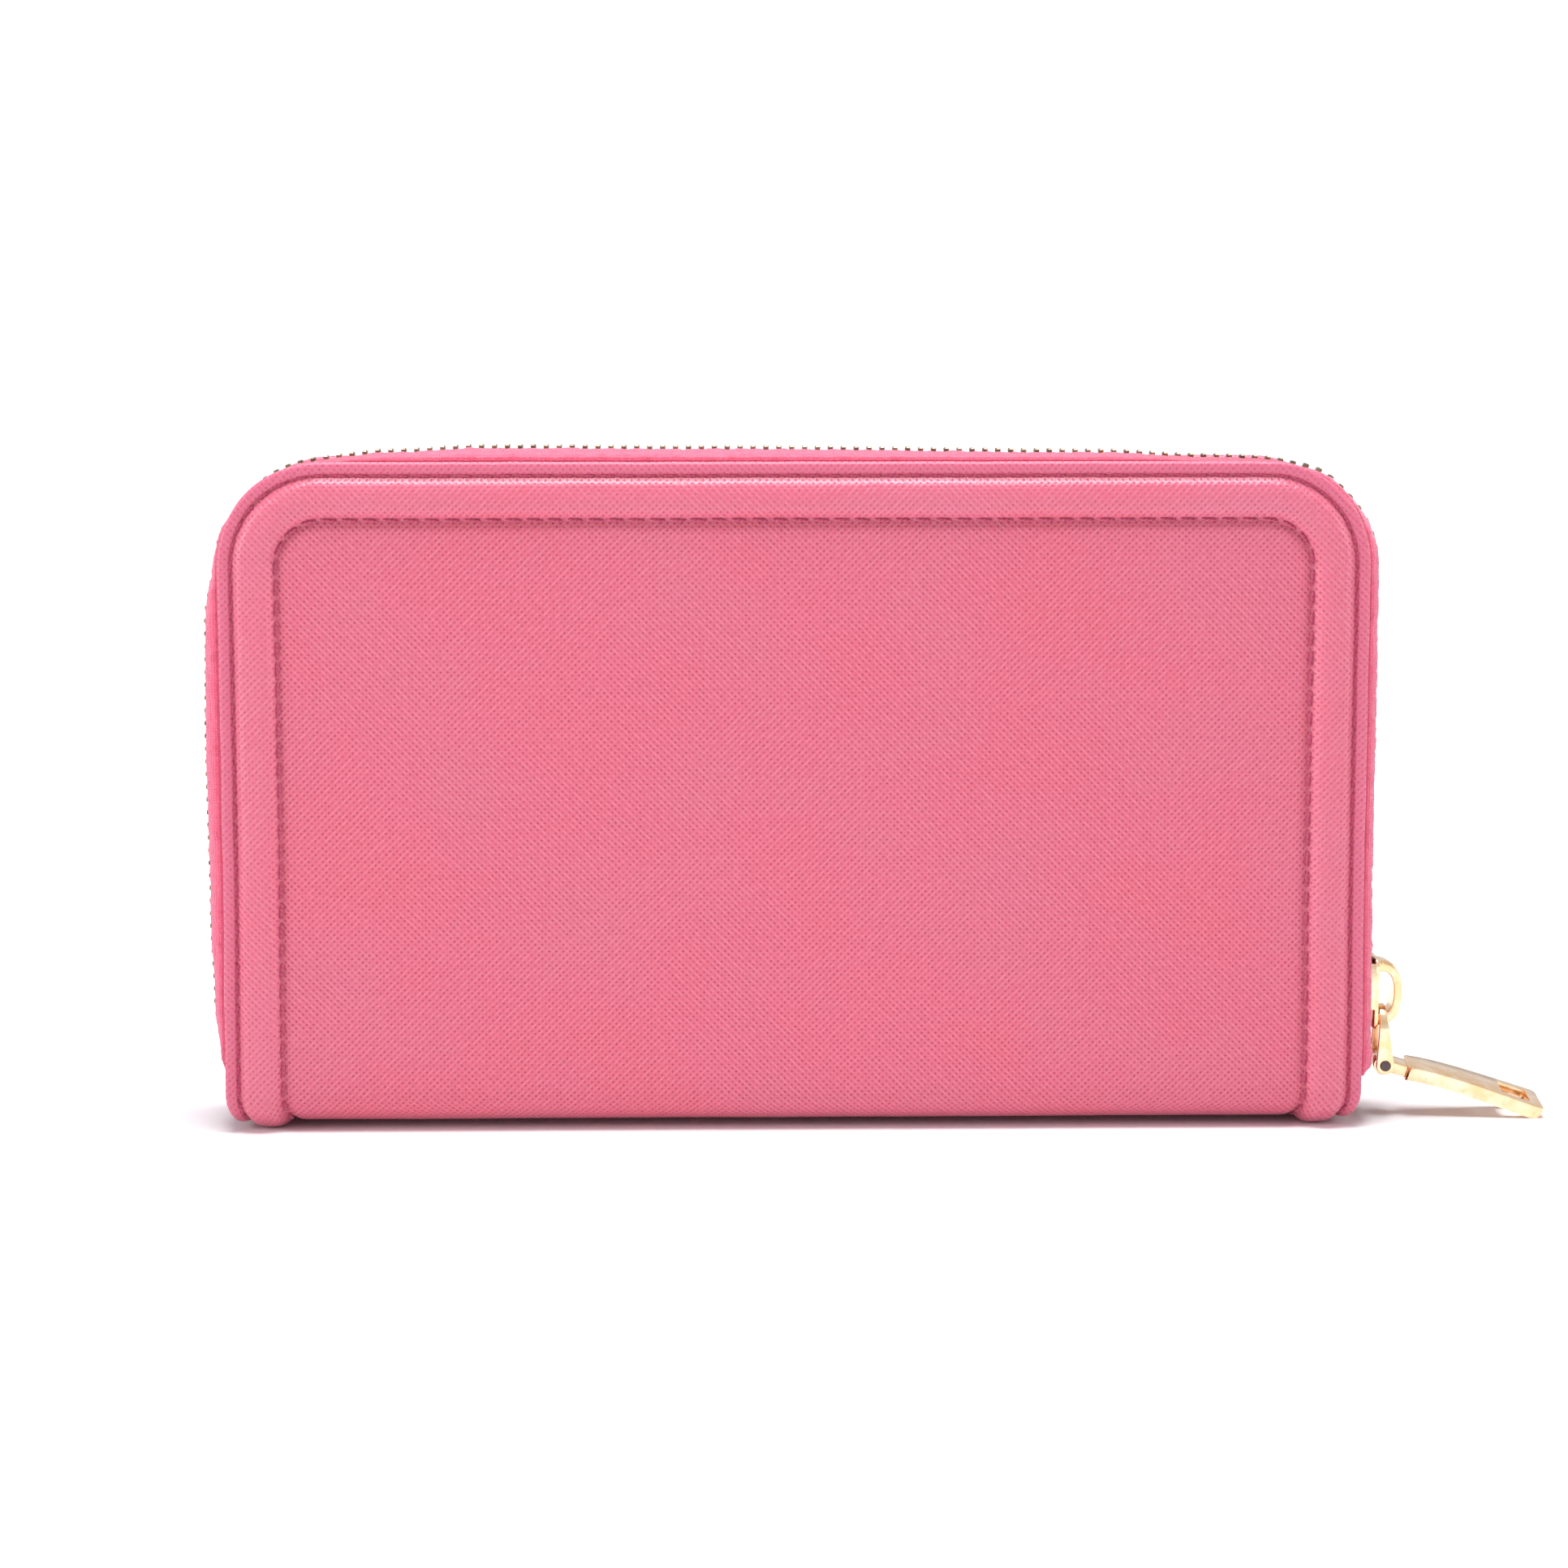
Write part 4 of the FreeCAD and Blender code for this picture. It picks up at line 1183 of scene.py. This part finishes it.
def ribbon(name, centre, section, steps, sides, across):
    # a strip swept along a path: section gives (width, thickness) at a share of the path
    piece = flatGrid(name, steps, sides)
    ahead, squareness, (mapLong, mapWide) = strip["lookAhead"], strip["squareness"], strip["mapSize"]

    def place(a, b, _):
        forward = (centre(min(1.0, a + ahead)) - centre(max(0.0, a - ahead))).normalized()
        wide = Vector(across)
        thick = forward.cross(wide).normalized()
        width, depth = section(a)
        turn = 2 * math.pi * b
        cosine, sine = math.cos(turn), math.sin(turn)
        # a squared-off oval, so that the faces stay flat and the edges round
        u = math.copysign(abs(cosine) ** squareness, cosine) * width / 2
        v = math.copysign(abs(sine) ** squareness, sine) * depth / 2
        return centre(a) + wide * u + thick * v, (a * mapLong, b * mapWide), (a * mapLong, b)
    layOut(piece, place)
    return capEnds(piece)


def makeSliderPlates():
    plate, face, inner = slider["plate"], slider["outerFace"], slider["innerFace"]
    foot, head, half = slider["foot"], slider["head"], slider["half"]
    post = addCube("sliderPost", (inner, -slider["postHalf"], slider["post"][0]),
                   (face - plate, slider["postHalf"], slider["post"][1]))
    pieces = [shielded(addCube("outerPlate", (face - plate, -half, foot), (face, half, head))),
              shielded(addCube("innerPlate", (inner, -half, foot), (inner + plate, half, head))),
              roundEdges(post, along(0), slider["postRound"])]
    for hand in (-1, 1):
        rim = sorted(hand * out for out in slider["flange"])
        pieces.append(addCube("sliderFlange", (face - slider["flangeDeep"], rim[0], slider["flangeFoot"]),
                              (face - plate / 2, rim[1], slider["flangeHead"])))
    body = joined("sliderPlates", pieces)
    modify(body, "BEVEL", width=slider["soften"], segments=2, limit_method="ANGLE",
           angle_limit=math.radians(40))
    smoothed(body, 35)
    finishPiece(body, paleGold, body="slider", replaces=("slider_body",))


def makeBridge():
    middle = (slider["bridgeLow"] + slider["bridgeHigh"]) / 2
    half = (slider["bridgeHigh"] - slider["bridgeLow"]) / 2 - slider["bridgeEnd"]
    reach = sliderHigh.x - slider["bridgeRoot"] - slider["bridgeThick"] / 2
    roundOut, roundUp = slider["bridgeRound"]

    def loop(share):
        # half an oval, flat where it leaves the plate
        turn = (share - 0.5) * math.pi
        rise = math.copysign(abs(math.sin(turn)) ** roundUp, turn)
        return Vector((slider["bridgeRoot"] + reach * abs(math.cos(turn)) ** roundOut, 0,
                       middle + half * rise))

    def section(share):
        return (2 * slider["bridgeHalf"],
                slider["bridgeThick"] + slider["bridgeSwell"] * abs(2 * share - 1) ** 1.5)
    bridge = ribbon("sliderBridge", loop, section, 60, 28, (0, 1, 0))
    for vertex in bridge.data.vertices:
        gap = vertex.co.x - slider["slit"]
        if vertex.co.z > middle and abs(gap) < slider["slitReach"]:
            vertex.co.x = slider["slit"] + math.copysign(slider["slitGap"], gap)
    smoothed(bridge, 50)
    finishPiece(bridge, paleGold, body="slider", replaces=("slider_body",))


# zip pull: a stirrup link through the bridge, a cross pin and a flat tab with a window

pinLow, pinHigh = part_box("pull_pin")
pull = {
    "pinX": (pinLow.x + pinHigh.x) / 2,
    "pinZ": (pinLow.z + pinHigh.z) / 2,
    "legOut": 0.00315,       # a leg's middle from the middle plane
    "legThick": 0.00085,
    "bootRadius": 0.00148,
    "kneeZ": 0.0133,         # where a leg turns in towards the bridge
    "kneeWidth": 0.0017,
    "kneeShare": 0.6,        # a leg has leant this far towards its top by the knee
    "bow": 1.12,             # the turned-in part's length over its straight span
    "taper": 0.9,
    "topReach": 0.6,
    "topWidth": 0.0011,
    "leastWidth": 0.00002,
    "topZ": 0.0169,
    "topX": 0.0969,
    "slope": 16.2,
    "roll": 6.5,             # the tab rests a little turned on its pin
    "length": 0.0272,
    "neckLength": 0.0039,
    "neckHalf": 0.0022,
    "neckShare": 0.8,        # the neck's thickness over the blade's
    "shoulderHalf": 0.0035,
    "shoulderRound": 0.0006,
    "tipHalf": 0.0049,
    "thick": 0.0022,
    "lap": 0.001,
    "barrel": 0.0016,
    "tipRadius": 0.0012,
    "window": (0.0201, 0.0251, 0.0027),
    "windowRound": 0.0006,
    "soften": 0.0002,
    "stations": 16,
    "sweep": 0.0005625,      # how far the tab's back bows along its length
    "sweepSkew": 0.6,
    "droop": 0.0001125,
    "pinRound": 0.00018,
}


def makeLink():
    boot, lift = pull["bootRadius"], pull["kneeZ"] - pull["pinZ"]
    rise, lean = pull["topZ"] - pull["kneeZ"], pull["topX"] - pull["pinX"]
    bend = math.hypot(pull["legOut"], rise) * pull["bow"]
    reach = boot + lift + bend
    kneeShare = pull["kneeShare"]

    def leg(distance):
        # from the round end below the pin, up past the knee and in over the bridge's lower bar
        z = pull["pinZ"] - boot + distance
        if z <= pull["kneeZ"]:
            share = kneeShare * max(0.0, z - pull["pinZ"]) / lift
            return Vector((pull["pinX"] + lean * share, -pull["legOut"], z))
        done = (distance - boot - lift) / bend
        turn = done * math.pi / 2
        x = pull["pinX"] + lean * (kneeShare + (1 - kneeShare) * done)
        return Vector((x, -pull["legOut"] * math.cos(turn), pull["kneeZ"] + rise * math.sin(turn)))

    def centre(share):
        if share <= 0.5:
            return leg(2 * share * reach)
        far = leg(2 * (1 - share) * reach)
        return Vector((far.x, -far.y, far.z))

    def section(share):
        distance = (1 - abs(2 * share - 1)) * reach
        if distance < boot:
            chord = 2 * math.sqrt(max(0.0, boot * boot - (boot - distance) ** 2))
            width = max(pull["leastWidth"], chord)
        elif distance < boot + lift:
            width = 2 * boot + (pull["kneeWidth"] - 2 * boot) * ((distance - boot) / lift) ** pull["taper"]
        else:
            width = pull["kneeWidth"] + (pull["topWidth"] - pull["kneeWidth"]) * ease(
                (distance - boot - lift) / (pull["topReach"] * bend))
        return width, pull["legThick"]
    link = ribbon("pullLink", centre, section, 120, 24, (1, 0, 0))
    smoothed(link, 45)
    finishPiece(link, paleGold, body="pull_link", replaces=("pull_link",))


def makeTab():
    half, neck, wide = pull["thick"] / 2, pull["neckLength"], pull["neckHalf"]
    centre = (neck + pull["length"]) / 2
    blade = addCube("pullTab", (neck, -pull["tipHalf"], -half), (pull["length"], pull["tipHalf"], half))
    for vertex in blade.data.vertices:
        if vertex.co.x < centre:
            vertex.co.y *= pull["shoulderHalf"] / pull["tipHalf"]
    roundEdges(blade, lambda a, b: along(2)(a, b) and a.x > centre, pull["tipRadius"])
    roundEdges(blade, lambda a, b: along(2)(a, b) and a.x < centre, pull["shoulderRound"])
    thin = half * pull["neckShare"]
    stem = addCube("tabNeck", (0, -wide, -thin), (neck + pull["lap"], wide, thin))
    barrel = addRod("tabBarrel", (0, -wide, 0), (0, wide, 0), pull["barrel"], 28)
    start, end, clear = pull["window"]
    cutter = addCube("tabCutter", (start, -clear, -2 * pull["thick"]), (end, clear, 2 * pull["thick"]))
    roundEdges(cutter, along(2), pull["windowRound"])
    for tool, operation in ((stem, "UNION"), (barrel, "UNION"), (cutter, "DIFFERENCE")):
        modify(blade, "BOOLEAN", operation=operation, object=tool, solver="EXACT")
        bpy.data.objects.remove(tool)
    modify(blade, "BEVEL", width=pull["soften"], segments=2, limit_method="ANGLE",
           angle_limit=math.radians(35))
    for number in range(1, pull["stations"]):
        station = number * pull["length"] / pull["stations"]
        inEdit(blade, lambda: bpy.ops.mesh.bisect(plane_co=(station, 0, 0), plane_no=(1, 0, 0)))
    place = (Matrix.Translation((pull["pinX"], 0, pull["pinZ"]))
             @ Matrix.Rotation(math.radians(pull["slope"]), 4, "Y")
             @ Matrix.Rotation(math.radians(pull["roll"]), 4, "X"))
    for vertex in blade.data.vertices:
        share = min(max((vertex.co.x - neck) / (pull["length"] - neck), 0), 1)
        vertex.co.z += pull["sweep"] * math.sin(math.pi * share ** pull["sweepSkew"]) - pull["droop"] * share
        vertex.co = place @ vertex.co
    smoothed(blade, 35)
    finishPiece(blade, paleGold, body="pull_tab", replaces=("pull_tab",))


def makePin():
    pin = addRod("pullPin", (pull["pinX"], pinLow.y, pull["pinZ"]), (pull["pinX"], pinHigh.y, pull["pinZ"]),
                 (pinHigh.x - pinLow.x) / 2, 28)
    modify(pin, "BEVEL", width=pull["pinRound"], segments=3, limit_method="ANGLE",
           angle_limit=math.radians(60))
    smoothed(pin, 40)
    finishPiece(pin, pinSteel, body="pull_link", replaces=("pull_pin",))


makeSliderPlates()
makeBridge()
makeLink()
makePin()
makeTab()
print("slider and pull made")


# end stops of the main zip

endStop = {
    "first": 0.0012,         # lengths of the two stops
    "last": 0.0026,
    "half": 0.0007,
    "low": 0.00012,
    "high": 0.00115,
    "round": 0.0003,
    "sunk": 0.0005,
}


def makeStops(cover):
    side = coverSides[cover]
    first, last = zipper["teethRuns"]
    stops = []
    for name, run, long in (("first", first - endStop["first"], endStop["first"]),
                            ("last", last + endStop["last"], endStop["last"])):
        block = addCube(f"{name}Stop", (-long / 2, -endStop["half"], endStop["low"]),
                        (long / 2, endStop["half"], endStop["high"]))
        modify(block, "BEVEL", width=endStop["round"], segments=3)

        def place(x, y, z, run=run):
            across, up = edgePoint(run + x, endStop["sunk"] + y - chainOut(run, cover))
            return foldPoint(side, across, up, z), (x, y), (x, y)
        stops.append(layOut(block, place))
    piece = joined(f"{cover}Stops", stops)
    mergeAndFace(piece, 1e-7)
    smoothed(piece, 40)
    finishPiece(piece, toothMetal, body=f"{cover}_cover", replaces=(f"{cover}_zip_stops",))


# inside: lining, card leaves, gussets and the coin pocket

inside = {
    "liningOut": 0.00935,
    "liningInset": 0.0031,
    "liningThick": 0.0003,
    "liningCrowding": 0.6,   # how much the mesh closes up towards the top
    "liningShare": 0.995,
    "liningRipple": 0.00006,
    "rippleSize": 0.012,
    "leafThick": 0.000336,
    "leafHem": 0.0022,       # a leaf's top edge is turned over this far
    "hemHigh": 0.00008,
    "hemFade": 0.0005,
    "edgeFade": 0.0004,
    "leafSag": 0.0009,       # use has pulled a leaf's top edge down a little
    "sagReach": 0.09,
    "sagFrom": 0.7,
    "seamInset": 0.0025,
    "seamReach": 0.0006,
    "seamDip": 0.0001,
}


def sheetPiece(name, stepsX, stepsZ, thick, place):
    piece = flatGrid(name, stepsX, stepsZ)
    layOut(piece, place)
    modify(piece, "SOLIDIFY", thickness=thick, offset=0)
    mergeAndFace(piece, 1e-7)
    return smoothed(piece, 60)


def dent(gap):
    # how strongly a seam this far away presses into the leather
    return math.exp(-(gap / inside["seamReach"]) ** 2)


def boxPlace(low, high, a, b):
    return low.x + (high.x - low.x) * a, low.z + (high.z - low.z) * b


def makeLining(cover):
    side, crowding = coverSides[cover], inside["liningCrowding"]
    inset = inside["liningInset"]
    wide, tall = 2 * (halfWide - inset), topLength - inset
    radius = cornerRadius - inset

    def place(a, b, _):
        up = tall * ((1 - crowding) * b + crowding * math.sin(b * math.pi / 2))
        rise = min(max(up - legLength, 0.0), radius)
        half = halfWide - cornerRadius + math.sqrt(max(0.0, radius * radius - rise * rise))
        across = half * (2 * a - 1) * inside["liningShare"]
        out = inside["liningOut"] + inside["liningRipple"] * grit(across, up, side, inside["rippleSize"])
        return foldPoint(side, across, up, out), (across, up), (up, across)
    piece = sheetPiece(f"{cover}Lining", 90, 90, inside["liningThick"], place)
    finishPiece(piece, liningCloth, cover=cover, replaces=(f"{cover}_lining", "spine_lining"))


def makeLeaf(cover, leaf):
    side = coverSides[cover]
    low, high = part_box(f"{cover}_{leaf}_card_leaf")
    middle = (low.y + high.y) / 2

    def place(a, b, _):
        x, z = boxPlace(low, high, a, b)
        under = high.z - z
        fold = ease((inside["leafHem"] - under) / inside["hemFade"])
        fold -= ease((inside["edgeFade"] - under) / inside["edgeFade"])
        seams = dent(x) + dent(high.x - abs(x) - inside["seamInset"])
        y = middle - side * (inside["hemHigh"] * fold - inside["seamDip"] * seams)
        sag = math.exp(-((x - 0.25 * high.x) / inside["sagReach"]) ** 2)
        sag *= inside["leafSag"] * ease((b - inside["sagFrom"]) / (1 - inside["sagFrom"]))
        return Vector((x, y, z - sag)), (x, z), (x, z)
    piece = sheetPiece(f"{cover}{leaf.title()}Leaf", 150, 60, inside["leafThick"], place)
    finishPiece(piece, cardLeather, body=f"{cover}_cover",
                replaces=(f"{cover}_{leaf}_card_leaf",))


gusset = {
    "thick": 0.00045,
    "steps": 40,
    "lap": 0.0002,
    "flap": 0.006,           # each of its two edges is sewn flat over this width
    "flapLap": 0.0003,
    "turn": 0.002,
    "turnLap": 0.0012,
    "crease": 0.0004,
    "ripple": 0.0003,
    "rippleSize": 0.02,
    "mapWide": 0.04,
    "hinge": 0.05,           # height of the two points between which it passes from spine to cover
}


def makeGusset(cover, hand):
    side, way = coverSides[cover], (-1 if hand == "left" else 1)
    low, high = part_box(f"{cover}_{hand}_gusset")
    foldX, rimX = sorted((abs(low.x), abs(high.x)))
    near, far = sorted((abs(low.y), abs(high.y)))
    half = [(rimX, gusset["lap"]), (rimX - gusset["flap"], gusset["flapLap"]),
            (foldX + gusset["turn"], gusset["turnLap"])]
    path = [(x, near + lap) for x, lap in half] + [(foldX + gusset["crease"], (near + far) / 2)]
    path += [(x, far - lap) for x, lap in reversed(half)]
    section = softProfile([(x * 1000, y * 1000) for x, y in path])
    tall, steps = high.z - low.z, gusset["steps"]

    def place(a, b, _):
        x, y = section(a)
        z = low.z + tall * b
        x += gusset["ripple"] * grit(a, z, way, gusset["rippleSize"]) * math.sin(math.pi * a)
        return Vector((way * x, side * y, z)), (a * gusset["mapWide"], z), (a, z)
    piece = sheetPiece(f"{cover}{hand.title()}Gusset", steps, 30, gusset["thick"], place)
    stations = [section(number / steps) for number in range(steps + 1)]
    unfolded = sum((b - a).length for a, b in zip(stations, stations[1:]))
    piece.data.materials.append(cardLeather)
    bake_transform(piece)
    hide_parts(f"{cover}_{hand}_gusset")


coin = {
    "wallThick": 0.00055,
    "tapeThick": 0.00035,
    "tapeLap": 0.0003,       # the tape starts this far in from its outer face
    "tapeEdge": 0.0001,
    "turnFrom": 0.35,        # from this share of its height the tape turns in to the chain
    "toothPitch": 0.0024,
    "toothWide": 0.001,
    "toothRound": 0.00015,
    "endRound": 0.0003,
    "endWide": 0.002,
    "firstStopWide": 0.0028,
}


def makeCoinWall(word, side):
    low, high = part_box(f"coin_{word}_wall")
    middle = (low.y + high.y) / 2

    def place(a, b, _):
        x, z = boxPlace(low, high, a, b)
        y = middle - side * inside["seamDip"] * dent(high.x - abs(x) - inside["seamInset"])
        return Vector((x, y, z)), (x, z), (x, z)
    piece = sheetPiece(f"coin{word.title()}Wall", 120, 50, coin["wallThick"], place)
    finishPiece(piece, cardLeather, body="spine", replaces=(f"coin_{word}_wall",))


def makeCoinTape(word, side):
    low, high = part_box(f"coin_{word}_tape")
    inner, outer = sorted((abs(low.y), abs(high.y)))
    start = outer - coin["tapeLap"]
    end = inner - coin["tapeEdge"]

    def place(a, b, _):
        x, z = boxPlace(low, high, a, b)
        y = start + (end - start) * ease((b - coin["turnFrom"]) / (1 - coin["turnFrom"]))
        return Vector((x, side * y, z)), (x, z), (x, -z)
    piece = sheetPiece(f"coin{word.title()}Tape", 140, 14, coin["tapeThick"], place)
    finishPiece(piece, tapeCloth, body="spine", replaces=(f"coin_{word}_tape",))


def makeCoinTeeth(word):
    low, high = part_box(f"coin_{word}_teeth")
    pitch = coin["toothPitch"]
    piece = addCube(f"coin{word.title()}Teeth", low, (low.x + coin["toothWide"], high.y, high.z))
    modify(piece, "BEVEL", width=coin["toothRound"], segments=1)
    modify(piece, "ARRAY", count=round((high.x - low.x) / pitch) + 1, use_relative_offset=False,
           use_constant_offset=True, constant_offset_displace=(pitch, 0, 0))
    smoothed(piece, 30)
    finishPiece(piece, toothMetal, body="spine", replaces=(f"coin_{word}_teeth",))


def makeCoinEnds(name, node, firstWide, material):
    low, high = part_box(node)
    piece = joined(name, [addCube("firstEnd", low, (low.x + firstWide, high.y, high.z)),
                          addCube("lastEnd", (high.x - coin["endWide"], low.y, low.z), high)])
    modify(piece, "BEVEL", width=coin["endRound"], segments=2)
    smoothed(piece, 40)
    for layer in ("grainMap", "seamMap"):
        piece.data.uv_layers.new(name=layer)
    finishPiece(piece, material, body="spine", replaces=(node,))


def makeCoinPocket():
    for word, side in (("rear", -1), ("front", 1)):
        makeCoinWall(word, side)
        makeCoinTape(word, side)
        makeCoinTeeth(word)
    makeCoinEnds("coinSideStrips", "coin_side_strips", coin["endWide"], cardLeather)
    makeCoinEnds("coinStops", "coin_zip_stops", coin["firstStopWide"], toothMetal)


coinZip = {
    "plateTop": 0.0923,
    "plate": 0.0007,
    "corner": 0.0014,
    "lowerHalf": 0.0014,
    "lowerThick": 0.0006,
    "lowerCorner": 0.0008,
    "webHalf": 0.0006,       # half the thickness of the post and of the lug
    "post": (0.0754, 0.0766),
    "lug": (0.0716, 0.0736),
    "lugSunk": 0.0004,
    "lugRound": 0.0008,
    "soften": 0.00012,
    "pullZ": 0.0935,
    "pullThick": 0.0008,
    "pullTip": 0.0018,
    "bladeX": 0.0748,
    "arm": (0.0719, 0.0752),
    "armOut": 0.0016,
    "armWide": 0.0008,
    "barX": 0.0726,
    "barRadius": 0.0004,
}


def softenMetal(piece):
    modify(piece, "BEVEL", width=coinZip["soften"], segments=2, limit_method="ANGLE",
           angle_limit=math.radians(40))
    return smoothed(piece, 35)


def makeCoinSlider():
    low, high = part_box("coin_slider")
    top, web, out = coinZip["plateTop"], coinZip["webHalf"], coinZip["lowerHalf"]
    upper = addCube("coinUpper", (low.x, low.y, top - coinZip["plate"]), (high.x, high.y, top))
    lower = addCube("coinLower", (low.x, -out, low.z), (high.x, out, low.z + coinZip["lowerThick"]))
    post = addCube("coinPost", (coinZip["post"][0], -web, low.z), (coinZip["post"][1], web, top))
    lug = addCube("coinLug", (coinZip["lug"][0], -web, top - coinZip["lugSunk"]),
                  (coinZip["lug"][1], web, high.z))
    roundEdges(upper, along(2), coinZip["corner"])
    roundEdges(lower, along(2), coinZip["lowerCorner"])
    roundEdges(lug, lambda a, b: along(1)(a, b) and a.z > top, coinZip["lugRound"])
    piece = softenMetal(joined("coinSlider", [upper, lower, post, lug]))
    finishPiece(piece, paleGold, body="coin_slider", replaces=("coin_slider",))


def makeCoinPull():
    low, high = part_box("coin_pull")
    bottom, top = (coinZip["pullZ"] + hand * coinZip["pullThick"] / 2 for hand in (-1, 1))
    start, end = coinZip["arm"]
    out, wide = coinZip["armOut"], coinZip["armWide"]
    blade = addCube("coinBlade", (coinZip["bladeX"], low.y, bottom), (high.x, high.y, top))
    roundEdges(blade, lambda a, b: along(2)(a, b) and a.x > end, coinZip["pullTip"])
    arms = [addCube("coinArm", (start, y, bottom), (end, y + wide, top)) for y in (-out, out - wide)]
    bar = addRod("coinBar", (coinZip["barX"], -out, coinZip["pullZ"]),
                 (coinZip["barX"], out, coinZip["pullZ"]), coinZip["barRadius"], 16)
    piece = softenMetal(joined("coinPull", [blade, *arms, bar]))
    finishPiece(piece, paleGold, body="coin_pull", replaces=("coin_pull",))


def dressCad(node, material):
    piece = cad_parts[node]
    piece.data.materials.clear()
    piece.data.materials.append(material)


for cover in coverSides:
    makeStops(cover)
    makeLining(cover)
    for leaf in ("upper", "middle", "lower"):
        makeLeaf(cover, leaf)
    for hand in ("left", "right"):
        makeGusset(cover, hand)
    dressCad(f"{cover}_stiffener", boardStock)
makeCoinPocket()
makeCoinSlider()
makeCoinPull()
print("inside fitted")


# floor, light and camera

stageSet = {
    "floorHalf": 3.0,
    "floorTones": ((0.93, 0.93, 0.95, 1), (0.97, 0.96, 0.98, 1)),
    "floorScale": 6.0,
    "cameraPlace": (-0.0148, -0.6, 0.1356),
    "cameraPitch": 82.27,
    "cameraTurn": -1.26,
    "lens": 85.2,
    "lights": {
        "softboxTop": {"place": (0.0, -0.05, 0.7), "aim": (0, 0, 0.05), "size": 0.4, "power": 7.2},
        "softboxFront": {"place": (-0.3, -1.1, 0.6), "aim": (0, 0, 0.05), "size": 0.8, "power": 0.7},
        "softboxLeft": {"place": (-0.8, -0.25, 0.3), "aim": (0, 0, 0.05), "size": 0.4, "power": 2.9},
        "softboxRight": {"place": (0.8, -0.2, 0.3), "aim": (0, 0, 0.05), "size": 0.4, "power": 1.9},
    },
    "worldColour": (0.92, 0.93, 1.0, 1.0),
    "worldLight": 0.275,
    "worldShown": 1.02,
    "glossShare": 0.7,       # how much of the bright backdrop polished metal sees
    "glow": 0.8,             # the sweep behind the wallet is lit apart from it
    "glowFrom": (0.12, 0.7),
}


def makeFloor():
    bpy.ops.object.select_all(action="DESELECT")
    bpy.ops.mesh.primitive_plane_add(size=2 * stageSet["floorHalf"], location=(0, 0, cadBounds[0].z))
    floor = settle(bpy.context.object, "floor")
    material, tree, shader = newMaterial("paleFloor")
    place = objectPlace(tree)
    tint = mixColour(tree, cloudy(tree, place, stageSet["floorScale"]), *stageSet["floorTones"])
    tree.links.new(tint, shader.inputs["Base Color"])
    shader.inputs["Roughness"].default_value = 0.75
    far = addNode(tree, "ShaderNodeVectorMath", operation="LENGTH")
    tree.links.new(place, far.inputs[0])
    glow = band(tree, far.outputs["Value"], *stageSet["glowFrom"])
    tree.links.new(mixColour(tree, glow, (0, 0, 0, 1), (1, 1, 1, 1)), shader.inputs["Emission Color"])
    shader.inputs["Emission Strength"].default_value = stageSet["glow"]
    floor.data.materials.append(material)


def makeLights():
    for name, settings in stageSet["lights"].items():
        lamp = bpy.data.lights.new(name, "AREA")
        lamp.shape = "SQUARE"
        lamp.size = settings["size"]
        lamp.energy = settings["power"]
        holder = bpy.data.objects.new(name, lamp)
        bpy.context.scene.collection.objects.link(holder)
        holder.location = settings["place"]
        aim = Vector(settings["aim"]) - Vector(settings["place"])
        holder.rotation_euler = aim.to_track_quat("-Z", "Y").to_euler()


def makeWorld():
    world = bpy.data.worlds.new("studio")
    bpy.context.scene.world = world
    world.use_nodes = True
    tree = world.node_tree
    background = tree.nodes["Background"]
    background.inputs["Color"].default_value = stageSet["worldColour"]
    background.inputs["Strength"].default_value = stageSet["worldLight"]
    backdrop = addNode(tree, "ShaderNodeBackground", in_Color=(1.0, 1.0, 1.0, 1.0),
                       in_Strength=stageSet["worldShown"])
    path = tree.nodes.new("ShaderNodeLightPath").outputs
    seen = calc(tree, "ADD", path["Is Camera Ray"],
                calc(tree, "MULTIPLY", path["Is Glossy Ray"], stageSet["glossShare"]), clamp=True)
    choose = tree.nodes.new("ShaderNodeMixShader")
    tree.links.new(seen, choose.inputs[0])
    tree.links.new(background.outputs[0], choose.inputs[1])
    tree.links.new(backdrop.outputs[0], choose.inputs[2])
    tree.links.new(choose.outputs[0], tree.nodes["World Output"].inputs["Surface"])


def makeCamera():
    lens = bpy.data.cameras.new("camera")
    lens.lens = stageSet["lens"]
    lens.sensor_width = 36
    camera = bpy.data.objects.new("camera", lens)
    bpy.context.scene.collection.objects.link(camera)
    camera.location = stageSet["cameraPlace"]
    camera.rotation_euler = (math.radians(stageSet["cameraPitch"]), 0, math.radians(stageSet["cameraTurn"]))
    bpy.context.scene.camera = camera


makeFloor()
makeLights()
makeWorld()
makeCamera()
bpy.context.scene.view_settings.view_transform = "Standard"
print("stage set")
